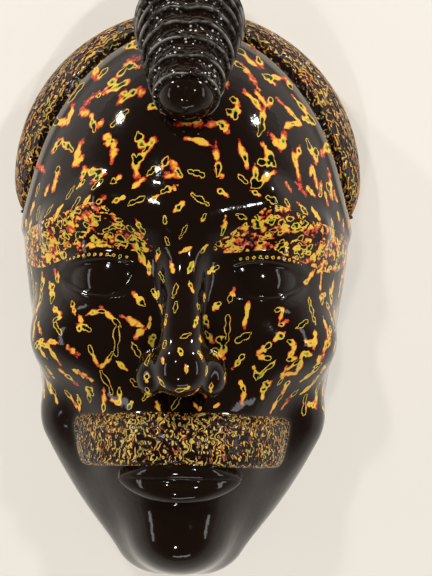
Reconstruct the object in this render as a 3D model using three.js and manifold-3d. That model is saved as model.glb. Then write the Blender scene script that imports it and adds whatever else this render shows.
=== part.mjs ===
// A carved wooden face mask that lies on its back rim, face up, in millimetres.
// +X runs to the right as the mask is looked at, +Y from chin to crown, and +Z out through the nose.
// The origin is on the rim's plane, under the middle of the whole piece.
// Face, hair band, moustache and topknot are one block of wood, hollowed out behind.
// The block is described by a distance function: rounded masses that melt into each other.
// Carving lines, walked inwards to the rim's plane, find where that function is zero.

import * as THREE from 'three';
import { mergeVertices } from 'three/addons/utils/BufferGeometryUtils.js';
import Module from 'manifold-3d';

// Driving dimensions of the block.
const RIM_DEPTH = 20; // from the rim's plane up to the widest section
const WALL = 14; // wood left between the front and the hollow
const HOLLOW_FILLET = 12;

// The head: forehead dome, lower face, jaw and the mass round the mouth.
const DOME = { centre: [0, 30, RIM_DEPTH], radii: [107, 134, 119] };
const LOWER_FACE = { centre: [0, -58, RIM_DEPTH], radii: [94, 126, 101] };
const CHIN_CORNER = { at: [14, -163, RIM_DEPTH + 42], radius: 30 };
const JAW_CORNER = { at: [67, -94, RIM_DEPTH + 32], radius: 23 };
const MUZZLE = { centre: [0, -114, RIM_DEPTH + 54], radii: [54, 50, 64] };
const HEAD_FILLET = 26;
const JAW_FILLET = 14;

// The band of hair is a low roll behind the forehead, shorter below its widest line than above it.
const HAIR_LINE_Y = 60;
const HAIR = { centre: [0, 0, RIM_DEPTH], radii: [114, 113, 68] };
const HAIR_DROP = 70;
const HAIR_FILLET = 1.5;

// Features of the face, each given for the side with positive X and mirrored.
// A fillet is the size of the soft edge between a feature and what it stands on or is cut from.
const BROW_INNER = { at: [13, 33, RIM_DEPTH + 107], radius: 9 };
const BROW_PEAK = { at: [48, 41, RIM_DEPTH + 97], radius: 10 };
const BROW_OUTER = { at: [80, 26, RIM_DEPTH + 70], radius: 7 };
const BROW_FILLET = 14;
const CHEEKBONE = { centre: [58, -44, RIM_DEPTH + 58], radii: [36, 24, 37], fillet: 26 };
const CHEEK_HOLLOW = { centre: [77, -104, RIM_DEPTH + 90], radii: [17, 28, 25], fillet: 20 };
const CHIN = { centre: [0, -166, RIM_DEPTH + 82], radii: [27, 22, 30], fillet: 26 };
const CHIN_DIP = { centre: [0, -152, RIM_DEPTH + 136], radii: [28, 6, 13], fillet: 7 };
const NOSE_ROOT = { at: [0, 12, RIM_DEPTH + 105], radius: 9 };
const NOSE_END = { at: [0, -54, RIM_DEPTH + 130], radius: 14 };
const NOSE_TIP = { centre: [0, -61, RIM_DEPTH + 132], radii: [16, 15, 16], fillet: 8 };
const NOSE_WING = { centre: [17, -64, RIM_DEPTH + 122], radii: [10.5, 12.5, 12], fillet: 6 };
const NOSE_FILLET = 9;
const NOSTRIL = { centre: [10, -77, RIM_DEPTH + 120], radii: [5.5, 7, 7], fillet: 3 };

// The eye is a ball in its socket, between two lids that are shells with slanted edges.
const SOCKET = { centre: [43, 3, RIM_DEPTH + 127], radii: [34, 21, 28], fillet: 14 };
const EYE_CENTRE = [42, -6, RIM_DEPTH + 72];
const EYEBALL = 30.5;
const UPPER_LID = { radius: 34, edge: THREE.MathUtils.degToRad(22) };
const LOWER_LID = { radius: 33.2, edge: THREE.MathUtils.degToRad(-20) };
const LID_EDGE = 1.6;
const LIDS_FILLET = 2;
const EYE_FILLET = 4;
const EYEBALL_FILLET = 0.5;
const EYE_YAW = 0.16;
const EYE_ROLL = 0.05;

// Each lip, and the line between them, is a roll along a shallow arc, fullest in the middle.
const LIP_REACH = 37;
const LIP_END = 0.7;
const UPPER_LIP = { y: -120.8, z: RIM_DEPTH + 120, bend: -5.6, fall: 14, thick: 6.4 };
const LOWER_LIP = { y: -132.6, z: RIM_DEPTH + 117.5, bend: 4.6, fall: 13, thick: 8.4 };
const MOUTH_LINE = { y: -127.2, z: RIM_DEPTH + 128.5, bend: 0.2, fall: 20, thick: 0.2 };
const LIPS_FILLET = 3;
const MOUTH_LINE_FILLET = 1.6;

// The moustache stands proud of the head as a broad band with a shelf below, and thins out to its ends.
const MOUSTACHE = {
  proud: 9.5,
  taper: 5,
  middle: -101,
  droop: 0.0012,
  above: 16,
  aboveSlope: 0.8,
  below: 17,
  half: 67,
  lean: 0.22,
  topFillet: 16,
  shelfFillet: 5,
  endFillet: 6,
  rootFillet: 2.5,
};

// The topknot: a fat horn of hair that leaves the crown and curls forward. Its rings are shallow
// cups, each drawn in at its root and widest at its lip, and a bud sits in the last one.
const KNOT_ROOT = new THREE.Vector3(0, 157.1, RIM_DEPTH + 10);
const KNOT_BEND = new THREE.Vector3(0, 171, RIM_DEPTH + 59);
const KNOT_TIP = new THREE.Vector3(0, 104.5, RIM_DEPTH + 116);
const KNOT_RINGS = 10;
const KNOT_ROOT_RADIUS = 37;
const KNOT_TIP_RADIUS = 21;
const KNOT_TAPER = 2; // above 1, so that most of the taper is near the tip
const RING_STEP = 0.11; // share of its radius that each ring draws in by at its root
const RING_PROFILE = [[0, 1], [0.45, 0.6], [0.94, 0]]; // share of a ring's length, share of the step
const BUD_RADIUS = 17;
const BUD_PROFILE = [0.35, 0.65, 0.85];
const BUD_LENGTH = 0.8; // as a share of its radius
const PARTING = { depth: 0.17, width: 0.25, fade: 0.7 }; // the groove that runs along the crown side

// How closely the facets follow the form: how far one may lie off it, and the limits of its size.
const FRONT_FACETS = { off: 0.55, finest: 1 / 100, longest: 19 };
const HOLLOW_FACETS = { off: 0.8, finest: 1 / 16, longest: 40 };
const HOLLOW_BOTTOM = -5; // the cut starts below the rim's plane, so that it opens it cleanly
const KNOT_SIDES = 22;

const length = (x, y, z) => Math.sqrt(x * x + y * y + z * z);

// Distance to an egg, near enough close to its surface.
function egg(p, { centre, radii }) {
  const [x, y, z] = [0, 1, 2].map((i) => p[i] - centre[i]);
  const [a, b, c] = radii;
  const near = length(x / a, y / b, z / c);
  const slope = length(x / (a * a), y / (b * b), z / (c * c)) + 1e-12;
  return (near * (near - 1)) / slope;
}

// Distance to a rod that tapers from one rounded end to the other.
function rod(p, start, end) {
  const along = [0, 1, 2].map((i) => end.at[i] - start.at[i]);
  const from = [0, 1, 2].map((i) => p[i] - start.at[i]);
  const dot = from[0] * along[0] + from[1] * along[1] + from[2] * along[2];
  const share = THREE.MathUtils.clamp(dot / (length(...along) ** 2), 0, 1);
  const off = [0, 1, 2].map((i) => from[i] - share * along[i]);
  return length(...off) - THREE.MathUtils.lerp(start.radius, end.radius, share);
}

// Distance to a lip, or to the line between the lips.
function lip(p, { y, z, bend, fall, thick }) {
  const x = THREE.MathUtils.clamp(p[0], 0, LIP_REACH);
  const out = (x / LIP_REACH) ** 2;
  const radius = thick * (1 - 0.99 * out) ** 0.65 + LIP_END;
  return length(p[0] - x, p[1] - y - bend * out, p[2] - z + fall * out) - radius;
}

// Joins two masses with a soft fillet, keeps what they share, or cuts the second from the first.
function melt(a, b, fillet) {
  const h = THREE.MathUtils.clamp(0.5 + (0.5 * (b - a)) / fillet, 0, 1);
  return b + (a - b) * h - fillet * h * (1 - h);
}
const meet = (a, b, fillet) => -melt(-a, -b, fillet);
const scoop = (a, b, fillet) => meet(a, -b, fillet);
const addEgg = (form, p, feature) => melt(form, egg(p, feature), feature.fillet);
const cutEgg = (form, p, feature) => scoop(form, egg(p, feature), feature.fillet);

function headForm(p) {
  const skull = melt(egg(p, DOME), egg(p, LOWER_FACE), HEAD_FILLET);
  const withJaw = melt(skull, rod(p, CHIN_CORNER, JAW_CORNER), JAW_FILLET);
  return melt(withJaw, egg(p, MUZZLE), HEAD_FILLET);
}

function hairForm(p) {
  const y = p[1] - HAIR_LINE_Y;
  return egg([p[0], y > 0 ? y : (y * HAIR.radii[1]) / HAIR_DROP, p[2]], HAIR);
}

function browRidge(p) {
  return melt(rod(p, BROW_INNER, BROW_PEAK), rod(p, BROW_PEAK, BROW_OUTER), BROW_PEAK.radius);
}

function nose(p) {
  const bridge = melt(rod(p, NOSE_ROOT, NOSE_END), egg(p, NOSE_TIP), NOSE_TIP.fillet);
  return melt(bridge, egg(p, NOSE_WING), NOSE_WING.fillet);
}

function addEye(face, p) {
  const off = [0, 1, 2].map((i) => p[i] - EYE_CENTRE[i]);
  const x = Math.cos(EYE_YAW) * off[0] - Math.sin(EYE_YAW) * off[2];
  const z = Math.sin(EYE_YAW) * off[0] + Math.cos(EYE_YAW) * off[2];
  const y = Math.cos(EYE_ROLL) * off[1] - Math.sin(EYE_ROLL) * x;
  const reach = length(...off);
  const over = y * Math.cos(UPPER_LID.edge) - z * Math.sin(UPPER_LID.edge);
  const under = y * Math.cos(LOWER_LID.edge) - z * Math.sin(LOWER_LID.edge);
  const upper = meet(reach - UPPER_LID.radius, -over, LID_EDGE);
  const lower = meet(reach - LOWER_LID.radius, under, LID_EDGE);
  const withLids = melt(face, melt(upper, lower, LIDS_FILLET), EYE_FILLET);
  return melt(withLids, reach - EYEBALL, EYEBALL_FILLET);
}

function addMouth(face, p) {
  const lips = Math.min(lip(p, UPPER_LIP), lip(p, LOWER_LIP));
  const parted = scoop(melt(face, lips, LIPS_FILLET), lip(p, MOUTH_LINE), MOUTH_LINE_FILLET);
  return cutEgg(parted, p, CHIN_DIP);
}

function moustache(p, head) {
  const middle = MOUSTACHE.middle - MOUSTACHE.droop * p[0] * p[0];
  const above = (p[1] - middle - MOUSTACHE.above) * MOUSTACHE.aboveSlope;
  const below = middle - MOUSTACHE.below - p[1];
  const end = p[0] - MOUSTACHE.half - MOUSTACHE.lean * (p[1] - middle);
  const proud = MOUSTACHE.proud - MOUSTACHE.taper * Math.min(p[0] / MOUSTACHE.half, 1) ** 4;
  const band = meet(head - proud, above, MOUSTACHE.topFillet);
  return meet(meet(band, below, MOUSTACHE.shelfFillet), end, MOUSTACHE.endFillet);
}

function front(x, y, z) {
  const p = [Math.abs(x), y, z];
  const head = headForm(p);
  let face = melt(head, browRidge(p), BROW_FILLET);
  face = addEgg(face, p, CHEEKBONE);
  face = addEgg(face, p, CHIN);
  face = cutEgg(face, p, CHEEK_HOLLOW);
  face = cutEgg(face, p, SOCKET);
  face = melt(face, nose(p), NOSE_FILLET);
  face = cutEgg(face, p, NOSTRIL);
  face = addMouth(addEye(face, p), p);
  face = melt(face, moustache(p, head), MOUSTACHE.rootFillet);
  return melt(face, hairForm(p), HAIR_FILLET);
}

function hollow(x, y, z) {
  const p = [Math.abs(x), y, z];
  return melt(headForm(p), hairForm(p), HOLLOW_FILLET) + WALL;
}

// Carving lines fan out from the rim's plane over a square map of the front, whose edge is the rim.
// Each starts part of the way out, so that it meets the front of the face nearly square.
const REACH = [112, 196, 150];
const START_SHARE = 0.6;

function carvingLine(s, t) {
  const u = s * Math.sqrt(1 - (t * t) / 2);
  const v = t * Math.sqrt(1 - (s * s) / 2);
  const tilt = (Math.min(Math.hypot(u, v), 1) * Math.PI) / 2;
  const spread = tilt > 0 ? (Math.sin(tilt) * Math.PI) / 2 / tilt : Math.PI / 2;
  const onRim = s === 1 || Math.abs(t) === 1;
  const end = new THREE.Vector3(REACH[0] * spread * u, REACH[1] * spread * v, REACH[2] * Math.cos(tilt));
  const start = new THREE.Vector3(end.x * START_SHARE, end.y * START_SHARE, 0);
  if (onRim) end.z = 0;
  return { start, way: end.sub(start).normalize() };
}

// Walks in along a line until the distance function says the wood is reached. Each step is a bit
// shorter than the distance left, because melted masses give a distance that is slightly too long.
function carve(form, { start, way }) {
  const outsideAll = 230;
  const closeEnough = 0.004;
  const mostSteps = 200;
  const careful = 0.7;
  const point = new THREE.Vector3();
  let far = outsideAll;
  for (let step = 0; step < mostSteps; step += 1) {
    point.copy(start).addScaledVector(way, far);
    const left = form(point.x, point.y, point.z);
    if (Math.abs(left) < closeEnough) break;
    far -= left * careful;
  }
  return point;
}

// The carved skin of the right half. Triangles on the map are halved wherever the wood lies off them.
class CarvedHalf {
  constructor(form, limits) {
    this.form = form;
    this.limits = limits;
    this.onMap = [];
    this.points = [];
    this.faces = []; // tip, then the side opposite to it, which is the next one to be halved
    this.sides = new Map(); // from one corner to the next: the face to the left of that side
    const middle = this.addPoint(0, 0);
    const side = this.addPoint(1, 0);
    for (const end of [1, -1]) {
      const pole = this.addPoint(0, end);
      const corner = this.addPoint(1, end);
      this.setFace(this.faces.length, side, ...(end > 0 ? [corner, middle] : [middle, corner]));
      this.setFace(this.faces.length, pole, ...(end > 0 ? [middle, corner] : [corner, middle]));
    }
    for (let n = 0; n < this.faces.length; n += 1) {
      while (this.isTooFlat(n)) this.halve(n);
    }
  }

  addPoint(s, t) {
    this.onMap.push([s, t]);
    return this.points.push(carve(this.form, carvingLine(s, t))) - 1;
  }

  setFace(n, tip, from, to) {
    this.faces[n] = [tip, from, to];
    this.sides.set(`${tip} ${from}`, n);
    this.sides.set(`${from} ${to}`, n);
    this.sides.set(`${to} ${tip}`, n);
  }

  isTooFlat(n) {
    const { off, finest, longest } = this.limits;
    const [start, end] = this.faces[n].slice(1).map((i) => this.onMap[i]);
    if (Math.hypot(start[0] - end[0], start[1] - end[1]) < finest * 1.5) return false;
    const corners = this.faces[n].map((i) => this.points[i]);
    const spans = corners.map((corner, i) => corner.distanceTo(corners[(i + 1) % 3]));
    if (Math.max(...spans) > longest) return true;
    return [[1, 1, 0], [0, 1, 1], [1, 0, 1], [1, 1, 1]].some((shares) => {
      const probe = new THREE.Vector3();
      shares.forEach((share, i) => probe.addScaledVector(corners[i], share));
      probe.divideScalar(shares[0] + shares[1] + shares[2]);
      return Math.abs(this.form(probe.x, probe.y, probe.z)) > off;
    });
  }

  // Halves a face, and with it the face beyond the halved side, so that no gap opens between them.
  halve(n) {
    const [tip, from, to] = this.faces[n];
    let beyond = this.sides.get(`${to} ${from}`);
    if (beyond !== undefined && this.faces[beyond][1] !== to) {
      this.halve(beyond);
      beyond = this.sides.get(`${to} ${from}`);
    }
    const [start, end] = [this.onMap[from], this.onMap[to]];
    const middle = this.addPoint((start[0] + end[0]) / 2, (start[1] + end[1]) / 2);
    this.setFace(n, middle, tip, from);
    this.setFace(this.faces.length, middle, to, tip);
    if (beyond !== undefined) {
      const [far] = this.faces[beyond];
      this.setFace(beyond, middle, far, to);
      this.setFace(this.faces.length, middle, from, far);
    }
  }
}

// A domed solid: the carved half, its mirror image and a flat fan that closes both underneath.
function domedSolid(form, limits, bottom) {
  const half = new CarvedHalf(form, limits);
  const onRim = half.onMap.map(([s, t]) => s === 1 || Math.abs(t) === 1);
  const place = [];
  for (const side of [1, -1]) {
    half.points.forEach((point, i) => {
      const x = half.onMap[i][0] === 0 ? 0 : point.x * side;
      place.push(x, point.y, onRim[i] ? bottom : point.z);
    });
  }
  const mirrored = half.points.length;
  const hub = 2 * mirrored;
  place.push(0, 0, bottom);
  const faces = [];
  const addBoth = (a, b, c) => {
    faces.push(a, b, c);
    faces.push(...[c, b, a].map((i) => (i === hub ? hub : i + mirrored)));
  };
  for (const face of half.faces) {
    addBoth(...face);
    face.forEach((from, i) => {
      const to = face[(i + 1) % 3];
      if (onRim[from] && onRim[to] && !half.sides.has(`${to} ${from}`)) addBoth(to, from, hub);
    });
  }
  const solid = new THREE.BufferGeometry();
  solid.setAttribute('position', new THREE.Float32BufferAttribute(place, 3));
  solid.setIndex(faces);
  return solid;
}

// The topknot's profile is turned straight, ring by ring, and then bent along its curve.
function topknotGeometry() {
  const profile = [new THREE.Vector2(0, 0)];
  for (let ring = 0; ring < KNOT_RINGS; ring += 1) {
    for (const [part, drawIn] of RING_PROFILE) {
      const along = (ring + part) / KNOT_RINGS;
      const radius = THREE.MathUtils.lerp(KNOT_ROOT_RADIUS, KNOT_TIP_RADIUS, along ** KNOT_TAPER);
      profile.push(new THREE.Vector2(radius * (1 - RING_STEP * drawIn), along));
    }
  }
  profile.push(new THREE.Vector2(BUD_RADIUS, 1));
  for (const rise of BUD_PROFILE) {
    profile.push(new THREE.Vector2(BUD_RADIUS * Math.cos((rise * Math.PI) / 2), 1 + rise));
  }
  profile.push(new THREE.Vector2(0, 2));

  const horn = new THREE.LatheGeometry(profile, KNOT_SIDES);
  const curve = new THREE.QuadraticBezierCurve3(KNOT_ROOT, KNOT_BEND, KNOT_TIP);
  const place = horn.attributes.position;
  const across = new THREE.Vector3(1, 0, 0);
  for (let i = 0; i < place.count; i += 1) {
    const along = place.getY(i);
    const turn = Math.atan2(place.getZ(i), place.getX(i));
    const share = Math.min(along, 1);
    const tangent = curve.getTangentAt(share);
    const browward = new THREE.Vector3().crossVectors(across, tangent);
    const offGroove = (Math.abs(turn + Math.PI / 2) / PARTING.width) ** 2;
    const groove = 1 - PARTING.depth * Math.exp(-offGroove) * (1 - PARTING.fade * share);
    const radius = Math.hypot(place.getX(i), place.getZ(i)) * groove;
    const budRise = Math.sin((Math.max(along - 1, 0) * Math.PI) / 2);
    const point = curve.getPointAt(share);
    point.addScaledVector(tangent, budRise * BUD_RADIUS * BUD_LENGTH);
    point.addScaledVector(across, radius * Math.cos(turn));
    point.addScaledVector(browward, radius * Math.sin(turn));
    place.setXYZ(i, point.x, point.y, point.z);
  }
  return horn;
}

const wasm = await Module();
wasm.setup();

function toManifold(geometry) {
  const bare = geometry.clone();
  bare.deleteAttribute('normal');
  bare.deleteAttribute('uv');
  const merged = mergeVertices(bare, 1e-3);
  const mesh = new wasm.Mesh({
    numProp: 3,
    vertProperties: new Float32Array(merged.attributes.position.array),
    triVerts: new Uint32Array(merged.index.array),
  });
  return new wasm.Manifold(mesh);
}

function toGeometry(manifold) {
  const { vertProperties, triVerts } = manifold.getMesh();
  const geometry = new THREE.BufferGeometry();
  geometry.setAttribute('position', new THREE.Float32BufferAttribute(vertProperties, 3));
  geometry.setIndex([...triVerts]);
  geometry.computeVertexNormals();
  return geometry;
}

function carvedMask() {
  const block = toManifold(domedSolid(front, FRONT_FACETS, 0));
  const topknot = toManifold(topknotGeometry());
  const inside = toManifold(domedSolid(hollow, HOLLOW_FACETS, HOLLOW_BOTTOM));
  const lacquer = new THREE.MeshStandardMaterial({ color: 0x15110f, roughness: 0.18, metalness: 0 });
  const mask = new THREE.Mesh(toGeometry(block.add(topknot).subtract(inside)), lacquer);
  mask.name = 'carved_mask';
  return mask;
}

const object = new THREE.Group();
object.add(carvedMask());

export default object;
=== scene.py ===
"""Dresses the carved wooden mask: a hollowed block in black lacquer, rubbed through to coloured coats.

Lengths are in millimetres, and are turned to metres where a mesh is made.
+X runs to the right as the face is looked at, +Y from chin to crown, +Z out through the nose.
"""
import logging
import math
from abc import ABC, abstractmethod
from collections.abc import Callable
from dataclasses import dataclass, field
from enum import Enum
from functools import partial
from typing import NamedTuple

import bpy
import numpy as np
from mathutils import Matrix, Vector
from mathutils.kdtree import KDTree


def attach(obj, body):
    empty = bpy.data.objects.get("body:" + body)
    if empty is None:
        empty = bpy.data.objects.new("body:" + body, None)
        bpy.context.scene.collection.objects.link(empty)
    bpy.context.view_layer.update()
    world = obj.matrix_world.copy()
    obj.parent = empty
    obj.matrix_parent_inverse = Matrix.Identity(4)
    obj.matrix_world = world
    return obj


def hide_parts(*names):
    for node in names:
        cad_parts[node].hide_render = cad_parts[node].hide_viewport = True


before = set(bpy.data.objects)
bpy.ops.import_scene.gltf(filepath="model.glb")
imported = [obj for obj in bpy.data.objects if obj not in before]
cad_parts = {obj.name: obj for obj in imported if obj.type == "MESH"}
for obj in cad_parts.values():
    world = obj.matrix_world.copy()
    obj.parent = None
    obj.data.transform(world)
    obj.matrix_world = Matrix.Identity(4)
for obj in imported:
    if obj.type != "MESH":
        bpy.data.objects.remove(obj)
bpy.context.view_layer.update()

LOG = logging.getLogger("carved_mask")
MM = 0.001
NODE = "carved_mask"
RIM_DEPTH = 20.0  # the sawn rim lies this far below the mask's widest section
BURIED = 5.0  # a face deeper than this in the wood is left out
TINY = 1e-12  # keeps a division by nothing from failing
TABLE = 64  # side of a table of random numbers, after which a pattern repeats
# Sockets of a Mix node that mixes colours: its factor, the colour at 0, the colour at 1, and the result
MIX_SHARE, MIX_FROM, MIX_TO, MIXED = 0, 6, 7, 2

Pair = tuple[float, float]
Triple = tuple[float, float, float]
Point = tuple[np.ndarray, np.ndarray, np.ndarray]
Form = Callable[[Point], np.ndarray]
Values = dict[str, np.ndarray]
Socket = bpy.types.NodeSocket
Inputs = dict[str | int, object]


def up(x: float, y: float, z: float) -> Triple:
    """A place whose height is given above the mask's widest section."""
    return x, y, z + RIM_DEPTH


def length(*parts: np.ndarray) -> np.ndarray:
    """Length of a vector given by its parts."""
    return np.sqrt(sum(part * part for part in parts))


def melt(a: np.ndarray, b: np.ndarray, fillet: float) -> np.ndarray:
    """Joins two masses with a soft fillet.

    Args:
        a: Distances to the first mass.
        b: Distances to the second mass.
        fillet: Size of the fillet.

    Returns:
        Distances to the joined mass.
    """
    h = np.clip(0.5 + 0.5 * (b - a) / fillet, 0, 1)
    return b + (a - b) * h - fillet * h * (1 - h)


def meet(a: np.ndarray, b: np.ndarray, fillet: float) -> np.ndarray:
    """Keeps what two masses share, with a rounded edge."""
    return -melt(-a, -b, fillet)


def scoop(a: np.ndarray, b: np.ndarray, fillet: float) -> np.ndarray:
    """Cuts the second mass from the first, with a rounded edge."""
    return meet(a, -b, fillet)


def folded(point: Point) -> Point:
    """Points with the left half laid on the right one."""
    return np.abs(point[0]), point[1], point[2]


@dataclass(frozen=True)
class Egg:
    """An egg-shaped mass, and the fillet by which it melts into a form or is cut from it."""

    centre: Triple
    radii: Triple
    fillet: float = 0.0

    def distance(self, p: Point) -> np.ndarray:
        """Distance to the egg, near enough close to its surface.

        Args:
            p: Where to measure.

        Returns:
            The distances.
        """
        x, y, z = (p[i] - self.centre[i] for i in range(3))
        a, b, c = self.radii
        near = length(x / a, y / b, z / c)
        slope = length(x / (a * a), y / (b * b), z / (c * c)) + TINY
        return near * (near - 1) / slope

    def added_to(self, form: np.ndarray, p: Point) -> np.ndarray:
        """Melts the egg into a form."""
        return melt(form, self.distance(p), self.fillet)

    def cut_from(self, form: np.ndarray, p: Point) -> np.ndarray:
        """Cuts the egg from a form."""
        return scoop(form, self.distance(p), self.fillet)


@dataclass(frozen=True)
class Rod:
    """A rod that tapers between two rounded ends."""

    start: Triple
    end: Triple
    start_radius: float
    end_radius: float

    def share(self, p: Point) -> np.ndarray:
        """How far along the rod each point is, from 0 to 1.

        Args:
            p: Where to measure.

        Returns:
            The shares.
        """
        along = np.subtract(self.end, self.start)
        dot = sum((p[i] - self.start[i]) * along[i] for i in range(3))
        return np.clip(dot / (along @ along), 0, 1)

    def distance(self, p: Point) -> np.ndarray:
        """Distance to the rod's surface.

        Args:
            p: Where to measure.

        Returns:
            The distances.
        """
        share = self.share(p)
        off = [p[i] - self.start[i] - share * (self.end[i] - self.start[i]) for i in range(3)]
        return length(*off) - (self.start_radius + (self.end_radius - self.start_radius) * share)


@dataclass(frozen=True)
class Lip:
    """A lip, or the line between the lips, as a roll along a shallow arc, fullest in the middle."""

    y: float
    z: float
    bend: float
    fall: float
    thick: float
    reach: float = 37.0
    taper: float = 0.99
    fullness: float = 0.65
    end: float = 0.7

    def distance(self, p: Point) -> np.ndarray:
        """Distance to the lip's surface.

        Args:
            p: Where to measure.

        Returns:
            The distances.
        """
        x = np.clip(p[0], 0, self.reach)
        out = (x / self.reach) ** 2
        thick = self.thick * (1 - self.taper * out) ** self.fullness + self.end
        height = self.z + RIM_DEPTH - self.fall * out
        return length(p[0] - x, p[1] - self.y - self.bend * out, p[2] - height) - thick


@dataclass(frozen=True)
class Lid:
    """An eyelid: a shell round the eyeball, cut off along a slanted edge."""

    radius: float
    slant: float
    edge: float = 1.6

    def distance(self, y: np.ndarray, z: np.ndarray, reach: np.ndarray, side: int) -> np.ndarray:
        """Distance to the lid.

        Args:
            y: Height over the middle of the eye.
            z: Depth from the middle of the eye.
            reach: Distance from the middle of the eye.
            side: 1 for the lid over the eye and -1 for the one under it.

        Returns:
            The distances.
        """
        slant = math.radians(self.slant)
        over = y * math.cos(slant) - z * math.sin(slant)
        return meet(reach - self.radius, -side * over, self.edge)


@dataclass(frozen=True)
class MaskForm:
    """The carved block as a distance function, with the same sizes as the solid.

    The features of the face are given for the side with positive X and mirrored.
    """

    wall: float = 14.0
    hollow_fillet: float = 12.0
    dome: Egg = Egg(up(0, 30, 0), (107, 134, 119))
    lower_face: Egg = Egg(up(0, -58, 0), (94, 126, 101), 26)
    jaw: Rod = Rod(up(14, -163, 42), up(67, -94, 32), 30, 23)
    jaw_fillet: float = 14.0
    muzzle: Egg = Egg(up(0, -114, 54), (54, 50, 64), 26)
    hair_line: float = 60.0  # height of the roll's widest line
    hair_roll: Egg = Egg(up(0, 0, 0), (114, 113, 68), 1.5)
    hair_drop: float = 70.0  # how far the roll reaches down from there
    brow_inner: Rod = Rod(up(13, 33, 107), up(48, 41, 97), 9, 10)
    brow_outer: Rod = Rod(up(48, 41, 97), up(80, 26, 70), 10, 7)
    brow_fillet: float = 14.0
    cheekbone: Egg = Egg(up(58, -44, 58), (36, 24, 37), 26)
    cheek_hollow: Egg = Egg(up(77, -104, 90), (17, 28, 25), 20)
    chin: Egg = Egg(up(0, -166, 82), (27, 22, 30), 26)
    chin_dip: Egg = Egg(up(0, -152, 136), (28, 6, 13), 7)
    bridge: Rod = Rod(up(0, 12, 105), up(0, -54, 130), 9, 14)
    nose_tip: Egg = Egg(up(0, -61, 132), (16, 15, 16), 8)
    nose_wing: Egg = Egg(up(17, -64, 122), (10.5, 12.5, 12), 6)
    nose_fillet: float = 9.0
    nostril: Egg = Egg(up(10, -77, 120), (5.5, 7, 7), 3)
    socket: Egg = Egg(up(43, 3, 127), (34, 21, 28), 14)
    eye: Triple = up(42, -6, 72)
    eyeball: float = 30.5
    upper_lid: Lid = Lid(34.0, 22.0)
    lower_lid: Lid = Lid(33.2, -20.0)
    lids_fillet: float = 2.0
    eye_fillet: float = 4.0
    eyeball_fillet: float = 0.5
    eye_yaw: float = 0.16
    eye_roll: float = 0.05
    upper_lip: Lip = Lip(y=-120.8, z=120, bend=-5.6, fall=14, thick=6.4)
    lower_lip: Lip = Lip(y=-132.6, z=117.5, bend=4.6, fall=13, thick=8.4)
    mouth_line: Lip = Lip(y=-127.2, z=128.5, bend=0.2, fall=20, thick=0.2)
    lips_fillet: float = 3.0
    mouth_line_fillet: float = 1.6
    moustache_middle: float = -101.0
    moustache_droop: float = 0.0012
    moustache_above: float = 16.0
    moustache_above_slope: float = 0.8
    moustache_below: float = 17.0
    moustache_half: float = 67.0
    moustache_proud: float = 9.5
    moustache_taper: float = 5.0
    moustache_lean: float = 0.22
    moustache_top_fillet: float = 16.0
    moustache_shelf_fillet: float = 5.0
    moustache_end_fillet: float = 6.0
    moustache_fillet: float = 2.5

    def head(self, p: Point) -> np.ndarray:
        """The forehead dome, the lower face, the jaw and the mass round the mouth."""
        skull = self.lower_face.added_to(self.dome.distance(p), p)
        return self.muzzle.added_to(melt(skull, self.jaw.distance(p), self.jaw_fillet), p)

    def hair(self, p: Point) -> np.ndarray:
        """The low roll of hair behind the forehead, shorter below its widest line.

        Args:
            p: Where to measure.

        Returns:
            Distances to the roll.
        """
        y = p[1] - self.hair_line
        y = np.where(y > 0, y, y * self.hair_roll.radii[1] / self.hair_drop)
        return self.hair_roll.distance((p[0], y, p[2]))

    def brow_ridge(self, p: Point) -> np.ndarray:
        """The ridge over each eye."""
        inner, outer = self.brow_inner.distance(p), self.brow_outer.distance(p)
        return melt(inner, outer, self.brow_inner.end_radius)

    def nose(self, p: Point) -> np.ndarray:
        """Bridge, tip and wings."""
        return self.nose_wing.added_to(self.nose_tip.added_to(self.bridge.distance(p), p), p)

    def in_socket(self, p: Point) -> Point:
        """A point in the turned frame of the eye's socket.

        Args:
            p: The point in the mask's frame.

        Returns:
            The point from the middle of the eye, with Z out of it.
        """
        off = [p[i] - self.eye[i] for i in range(3)]
        x = math.cos(self.eye_yaw) * off[0] - math.sin(self.eye_yaw) * off[2]
        z = math.sin(self.eye_yaw) * off[0] + math.cos(self.eye_yaw) * off[2]
        y = math.cos(self.eye_roll) * off[1] - math.sin(self.eye_roll) * x
        return x, y, z

    def on_upper_lid(self, above: float, turn: float) -> Triple:
        """A point on the upper lid.

        Args:
            above: Its height over the lid's edge.
            turn: Its angle round the eye, 0 in the middle and above 0 towards the temple.

        Returns:
            Its place.
        """
        slant = math.radians(self.upper_lid.slant)
        round_eye = math.sqrt(self.upper_lid.radius**2 - above * above)
        x = round_eye * math.sin(turn)
        y = above * math.cos(slant) + round_eye * math.cos(turn) * math.sin(slant)
        z = round_eye * math.cos(turn) * math.cos(slant) - above * math.sin(slant)
        off_x = math.cos(self.eye_yaw) * x + math.sin(self.eye_yaw) * z
        off_y = (y + math.sin(self.eye_roll) * x) / math.cos(self.eye_roll)
        off_z = math.cos(self.eye_yaw) * z - math.sin(self.eye_yaw) * x
        return self.eye[0] + off_x, self.eye[1] + off_y, self.eye[2] + off_z

    def with_eye(self, face: np.ndarray, p: Point) -> np.ndarray:
        """Adds a ball in its socket, between two lids.

        Args:
            face: Distances to the face without it.
            p: Where to measure.

        Returns:
            Distances to the face with it.
        """
        _, y, z = self.in_socket(p)
        reach = length(*(p[i] - self.eye[i] for i in range(3)))
        upper = self.upper_lid.distance(y, z, reach, 1)
        lower = self.lower_lid.distance(y, z, reach, -1)
        face = melt(face, melt(upper, lower, self.lids_fillet), self.eye_fillet)
        return melt(face, reach - self.eyeball, self.eyeball_fillet)

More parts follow.
